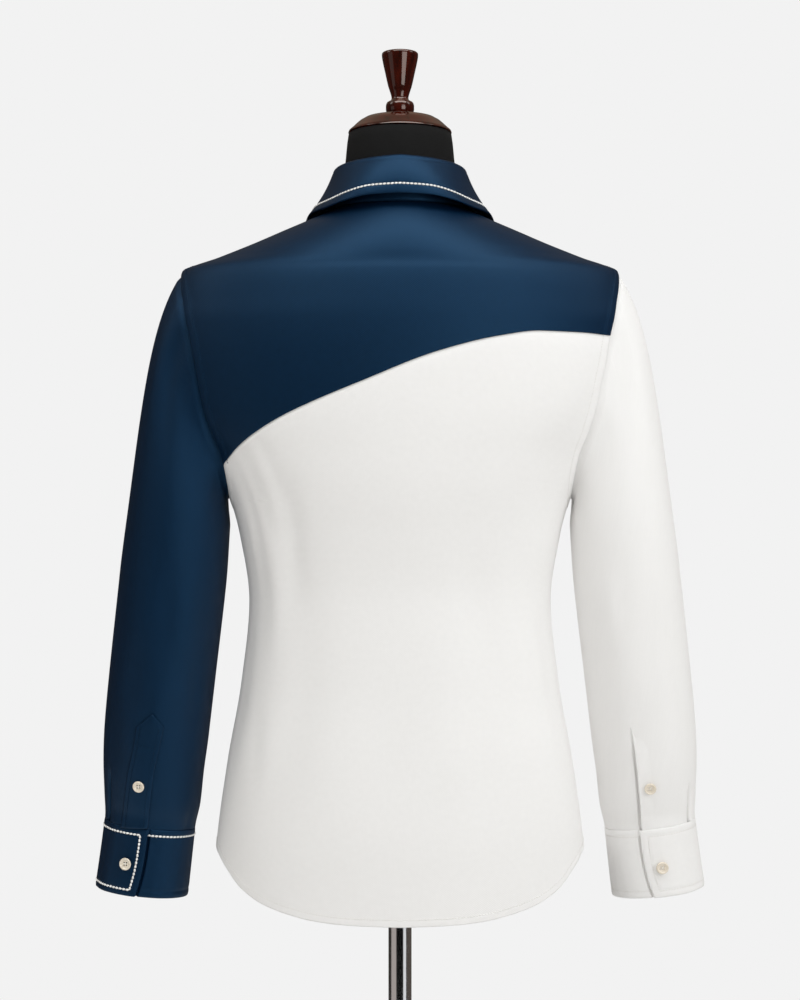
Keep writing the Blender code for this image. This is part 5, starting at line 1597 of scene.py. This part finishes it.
wood = mahogany()
CAP = table(
    "r z",
    (0.0, 1.5309), (0.0300, 1.5309), (0.0522, 1.5309), (0.0537, 1.5314), (0.0538, 1.5324),
    (0.0522, 1.5340), (0.0488, 1.5371), (0.0455, 1.5402), (0.0422, 1.5430), (0.0402, 1.5443),
    (0.0392, 1.5446), (0.0384, 1.5452), (0.0372, 1.5461), (0.0340, 1.5470), (0.0280, 1.5479),
    (0.0190, 1.5486), (0.0, 1.5489),
)
FINIAL = table(
    "r z",
    (0.0, 1.5491), (0.0115, 1.5491), (0.0136, 1.5520), (0.0147, 1.5560), (0.0147, 1.5597),
    (0.0136, 1.5630), (0.0110, 1.5646), (0.0094, 1.5656), (0.0088, 1.5680), (0.0098, 1.5725),
    (0.0122, 1.5800), (0.0154, 1.5940), (0.0182, 1.6070), (0.0188, 1.6108), (0.0189, 1.6132),
    (0.0183, 1.6146), (0.0150, 1.6154), (0.0, 1.6160),
)
turned_piece("form_neck_cap_wood", CAP, wood, "dark_wood", "form_neck_cap", count=60)
turned_piece("form_finial_wood", FINIAL, wood, "dark_wood", "form_finial", count=80)
print("cap and finial turned")

# %% [markdown]
# ## Stand
# The post is a chromed steel tube and the base a turned plate, chromed as well. Chrome has
# almost no colour of its own, and what it shows is the room, so the pale and dark cards
# around it matter more than its settings. Very fine polishing lines break the
# reflection a little.

# %% Chrome post and base
POLISH_ACROSS, POLISH_ALONG = 1.0 / 40.0, 1.0 / 1800.0    # lines about 25 mm long, 0.6 mm apart


def chrome():
    material, tree = new_material(
        "polished chrome plate", Metallic=1.0, Roughness=0.09, Base_Color=linear("#d2d3d6"))
    place = add_node(tree, "ShaderNodeTexCoord").outputs["Object"]
    scale = (1.0 / POLISH_ACROSS, 1.0 / POLISH_ACROSS, 1.0 / POLISH_ALONG)
    lines = add_node(tree, "ShaderNodeMapping", Vector=place, Scale=scale).outputs["Vector"]
    fine = add_node(tree, "ShaderNodeTexNoise", Vector=lines, Scale=1.0, Detail=2.0).outputs["Fac"]
    rough = add_node(tree, "ShaderNodeMapRange", Value=fine, To_Min=0.09, To_Max=0.17)
    join(tree, rough.outputs["Result"], "Roughness")
    return material


chrome_plate = chrome()
POST = table(                           # extra rings keep the long wall's normals level
    "r z", (0.0, 0.0473), (0.0116, 0.0473), (0.0120, 0.0477), (0.0120, 0.0490),
    (0.0120, 0.8130), (0.0120, 0.8143), (0.0116, 0.8147), (0.0, 0.8147))
BASE = table(
    "r z",
    (0.0, 0.0), (0.1680, 0.0), (0.1700, 0.0020), (0.1700, 0.0070), (0.1692, 0.0088),
    (0.1670, 0.0100), (0.1100, 0.0124), (0.0600, 0.0140), (0.0350, 0.0160), (0.0260, 0.0185),
    (0.0225, 0.0240), (0.0214, 0.0350), (0.0210, 0.0450), (0.0190, 0.0470), (0.0, 0.0470),
)
turned_piece("form_post_chrome", POST, chrome_plate, "chromed_steel", "form_post")
turned_piece("form_base_chrome", BASE, chrome_plate, "chromed_steel", "form_base", steps=128)
print("stand turned")

# %% [markdown]
# The sizes of the sheets are those of a slim men's shirt jacket, medium.

# %% [markdown]
# ## Room, light and camera
# A product photograph of white cloth is lit broadly: one large soft light from the upper right,
# softboxes overhead, weaker light from everywhere else, and a pale background a little darker
# than the cloth's highlights. The room's own light is a little warm and the lamps are a little
# cool, so shaded cloth looks warmer than lit cloth. The background is a large pale dome that
# lights nothing, so its tone and the light on the cloth can be set apart.
#
# Polished parts need something to mirror. A dim tent, lighter overhead, and a few upright
# cards, which only reflections see, give the chrome its dark middle and pale bands, and the
# lacquered wood its long streaks.

# %% Floor and backdrop
BLACK = (0.0, 0.0, 0.0, 1.0)
NO_LIGHT = ("visible_diffuse", "visible_glossy", "visible_transmission", "visible_shadow")


def glow(name, colour, strength):
    """A finish that only shines, and looks the same under every lamp."""
    return new_material(name, Base_Color=BLACK, Roughness=0.8, Specular_IOR_Level=0.0,
                        Emission_Color=linear(colour), Emission_Strength=strength)[0]


def stage_object(name, bm, material, hidden_from=()):
    thing = new_object(name, bm, material)
    for flag in hidden_from:
        setattr(thing, flag, False)


def inner_sphere(radius):
    """A sphere seen from inside."""
    bm = bmesh.new()
    bmesh.ops.create_uvsphere(bm, u_segments=48, v_segments=24, radius=radius)
    bmesh.ops.reverse_faces(bm, faces=bm.faces)
    return bm


matt_floor = new_material("pale matt floor", Base_Color=linear("#f2f2f2"), Roughness=0.8)[0]
disc = bmesh.new()
bmesh.ops.create_circle(disc, cap_ends=True, segments=96, radius=1.9)
stage_object("floor", disc, matt_floor)
stage_object("backdrop dome", inner_sphere(9.0), glow("pale backdrop", "#f2f2f2", 1.0), NO_LIGHT)
print("floor and backdrop placed")

# %% Dim tent and cards for the reflections
GLOSSY_ONLY = ("visible_camera", "visible_diffuse", "visible_transmission", "visible_shadow")
TENT_LOW, TENT_HIGH = "#3c3835", "#8c8378"

tent = glow("dim grey tent", TENT_LOW, 1.0)
tree = tent.node_tree
place = add_node(tree, "ShaderNodeTexCoord").outputs["Object"]
height = add_node(tree, "ShaderNodeSeparateXYZ", Vector=place).outputs["Z"]
share = add_node(tree, "ShaderNodeMapRange", Value=height, From_Min=3.0, From_Max=6.5)
mixed = add_node(tree, "ShaderNodeMix", RGBA, Factor=share.outputs["Result"],
                 _6=linear(TENT_LOW), _7=linear(TENT_HIGH))
join(tree, mixed.outputs[2], "Emission Color")
stage_object("dim tent", inner_sphere(8.0), tent, GLOSSY_ONLY)

CARDS = (                               # name, centre, width and height, turn, colour, strength
    ("grey card left", (1.47, 0.63, 0.30), (1.75, 0.6), -67.0, "#beb4ae", 1.0),
    ("black card behind camera", (0.0, 1.6, 0.30), (2.0, 0.6), 0.0, "#0a0a0a", 1.0),
    ("white card right", (-1.19, 1.07, 0.30), (0.86, 0.6), 48.0, "#ffffff", 1.0),
    ("brown card right", (-1.48, -0.62, 0.30), (2.60, 0.6), 112.0, "#5c544e", 1.0),
    ("strip light right", (-1.22, 2.18, 1.40), (1.35, 1.4), 29.0, "#ffffff", 2.4),
    ("strip light left", (2.16, 1.05, 1.40), (1.30, 1.3), -64.0, "#ffffff", 0.30),
)
for name, centre, size, turn, colour, strength in CARDS:
    bm = bmesh.new()
    bmesh.ops.create_grid(bm, x_segments=1, y_segments=1, size=0.5)
    bm.transform(Matrix.Translation(centre) @ Matrix.Rotation(math.radians(turn), 4, "Z")
                 @ Matrix.Rotation(math.radians(90.0), 4, "X") @ Matrix.Diagonal((*size, 1, 1)))
    stage_object(name, bm, glow(name, colour, strength), GLOSSY_ONLY)
print(len(CARDS), "cards round the form")

# %% Lights and camera
ROOM_COLOUR, ROOM_STRENGTH = (1.0, 0.955, 0.885, 1.0), 0.42
LAMP_COLOUR = (0.945, 0.975, 1.0)       # cooler than the room, as daylight lamps are
LAMPS = (                               # name, place, target, size, power, in gloss, on cloth
    ("key from upper right", (-2.1, 2.3, 2.0), (0.0, 0.05, 1.0), (1.6, 1.6), 33.0, False, True),
    ("softbox overhead", (-0.1, 1.05, 2.9), (0.0, 0.05, 1.35), (2.6, 0.9), 17.5, True, True),
    ("gloss panel overhead", (-0.1, 1.0, 2.8), (0.0, 0.05, 1.35), (2.6, 0.9), 12.5, True, False),
    ("softbox high left", (2.1, 0.4, 2.8), (0.15, 0.0, 1.3), (0.9, 1.2), 5.0, True, True),
    ("softbox high right", (-2.1, 0.4, 2.8), (-0.15, 0.0, 1.3), (0.9, 1.2), 5.0, True, True),
    ("fill from left", (2.6, 1.8, 1.6), (0.0, 0.0, 1.1), (1.6, 2.0), 6.0, False, True),
    ("low fill", (0.8, 1.9, 0.45), (-0.15, 0.0, 0.8), (0.8, 0.8), 1.8, False, True),
    ("front fill", (0.0, -2.6, 2.2), (0.0, 0.0, 1.1), (2.2, 1.6), 28.0, False, True),
)
CAMERA_AWAY, CAMERA_Z = 1.9, 1.15
IMAGE_HEIGHT = 1.04                     # metres of the garment's middle plane in the image
SENSOR = 36.0

scene = bpy.context.scene
scene.world = scene.world or bpy.data.worlds.new("room")
scene.world.use_nodes = True
background = scene.world.node_tree.nodes["Background"]
background.inputs["Color"].default_value = ROOM_COLOUR
background.inputs["Strength"].default_value = ROOM_STRENGTH
for name, place, target, size, power, glossy, diffuse in LAMPS:
    data = bpy.data.lights.new(name, "AREA")
    data.shape = "RECTANGLE"
    data.size, data.size_y = size
    data.energy = power
    data.color = LAMP_COLOUR
    lamp = bpy.data.objects.new(name, data)
    lamp.location = place
    lamp.rotation_euler = (Vector(target) - Vector(place)).to_track_quat("-Z", "Y").to_euler()
    lamp.visible_glossy = glossy
    lamp.visible_diffuse = diffuse
    collection.objects.link(lamp)

camera_data = bpy.data.cameras.new("camera")
camera_data.lens = SENSOR * CAMERA_AWAY / IMAGE_HEIGHT
camera_data.sensor_width = SENSOR
camera = bpy.data.objects.new("camera", camera_data)
camera.location = (0.0, CAMERA_AWAY, CAMERA_Z)
camera.rotation_euler = (math.radians(90.0), 0.0, math.radians(180.0))
collection.objects.link(camera)
scene.camera = camera
scene.view_settings.view_transform = "Standard"
print(len(LAMPS), "lamps and a", round(camera_data.lens), "mm lens")
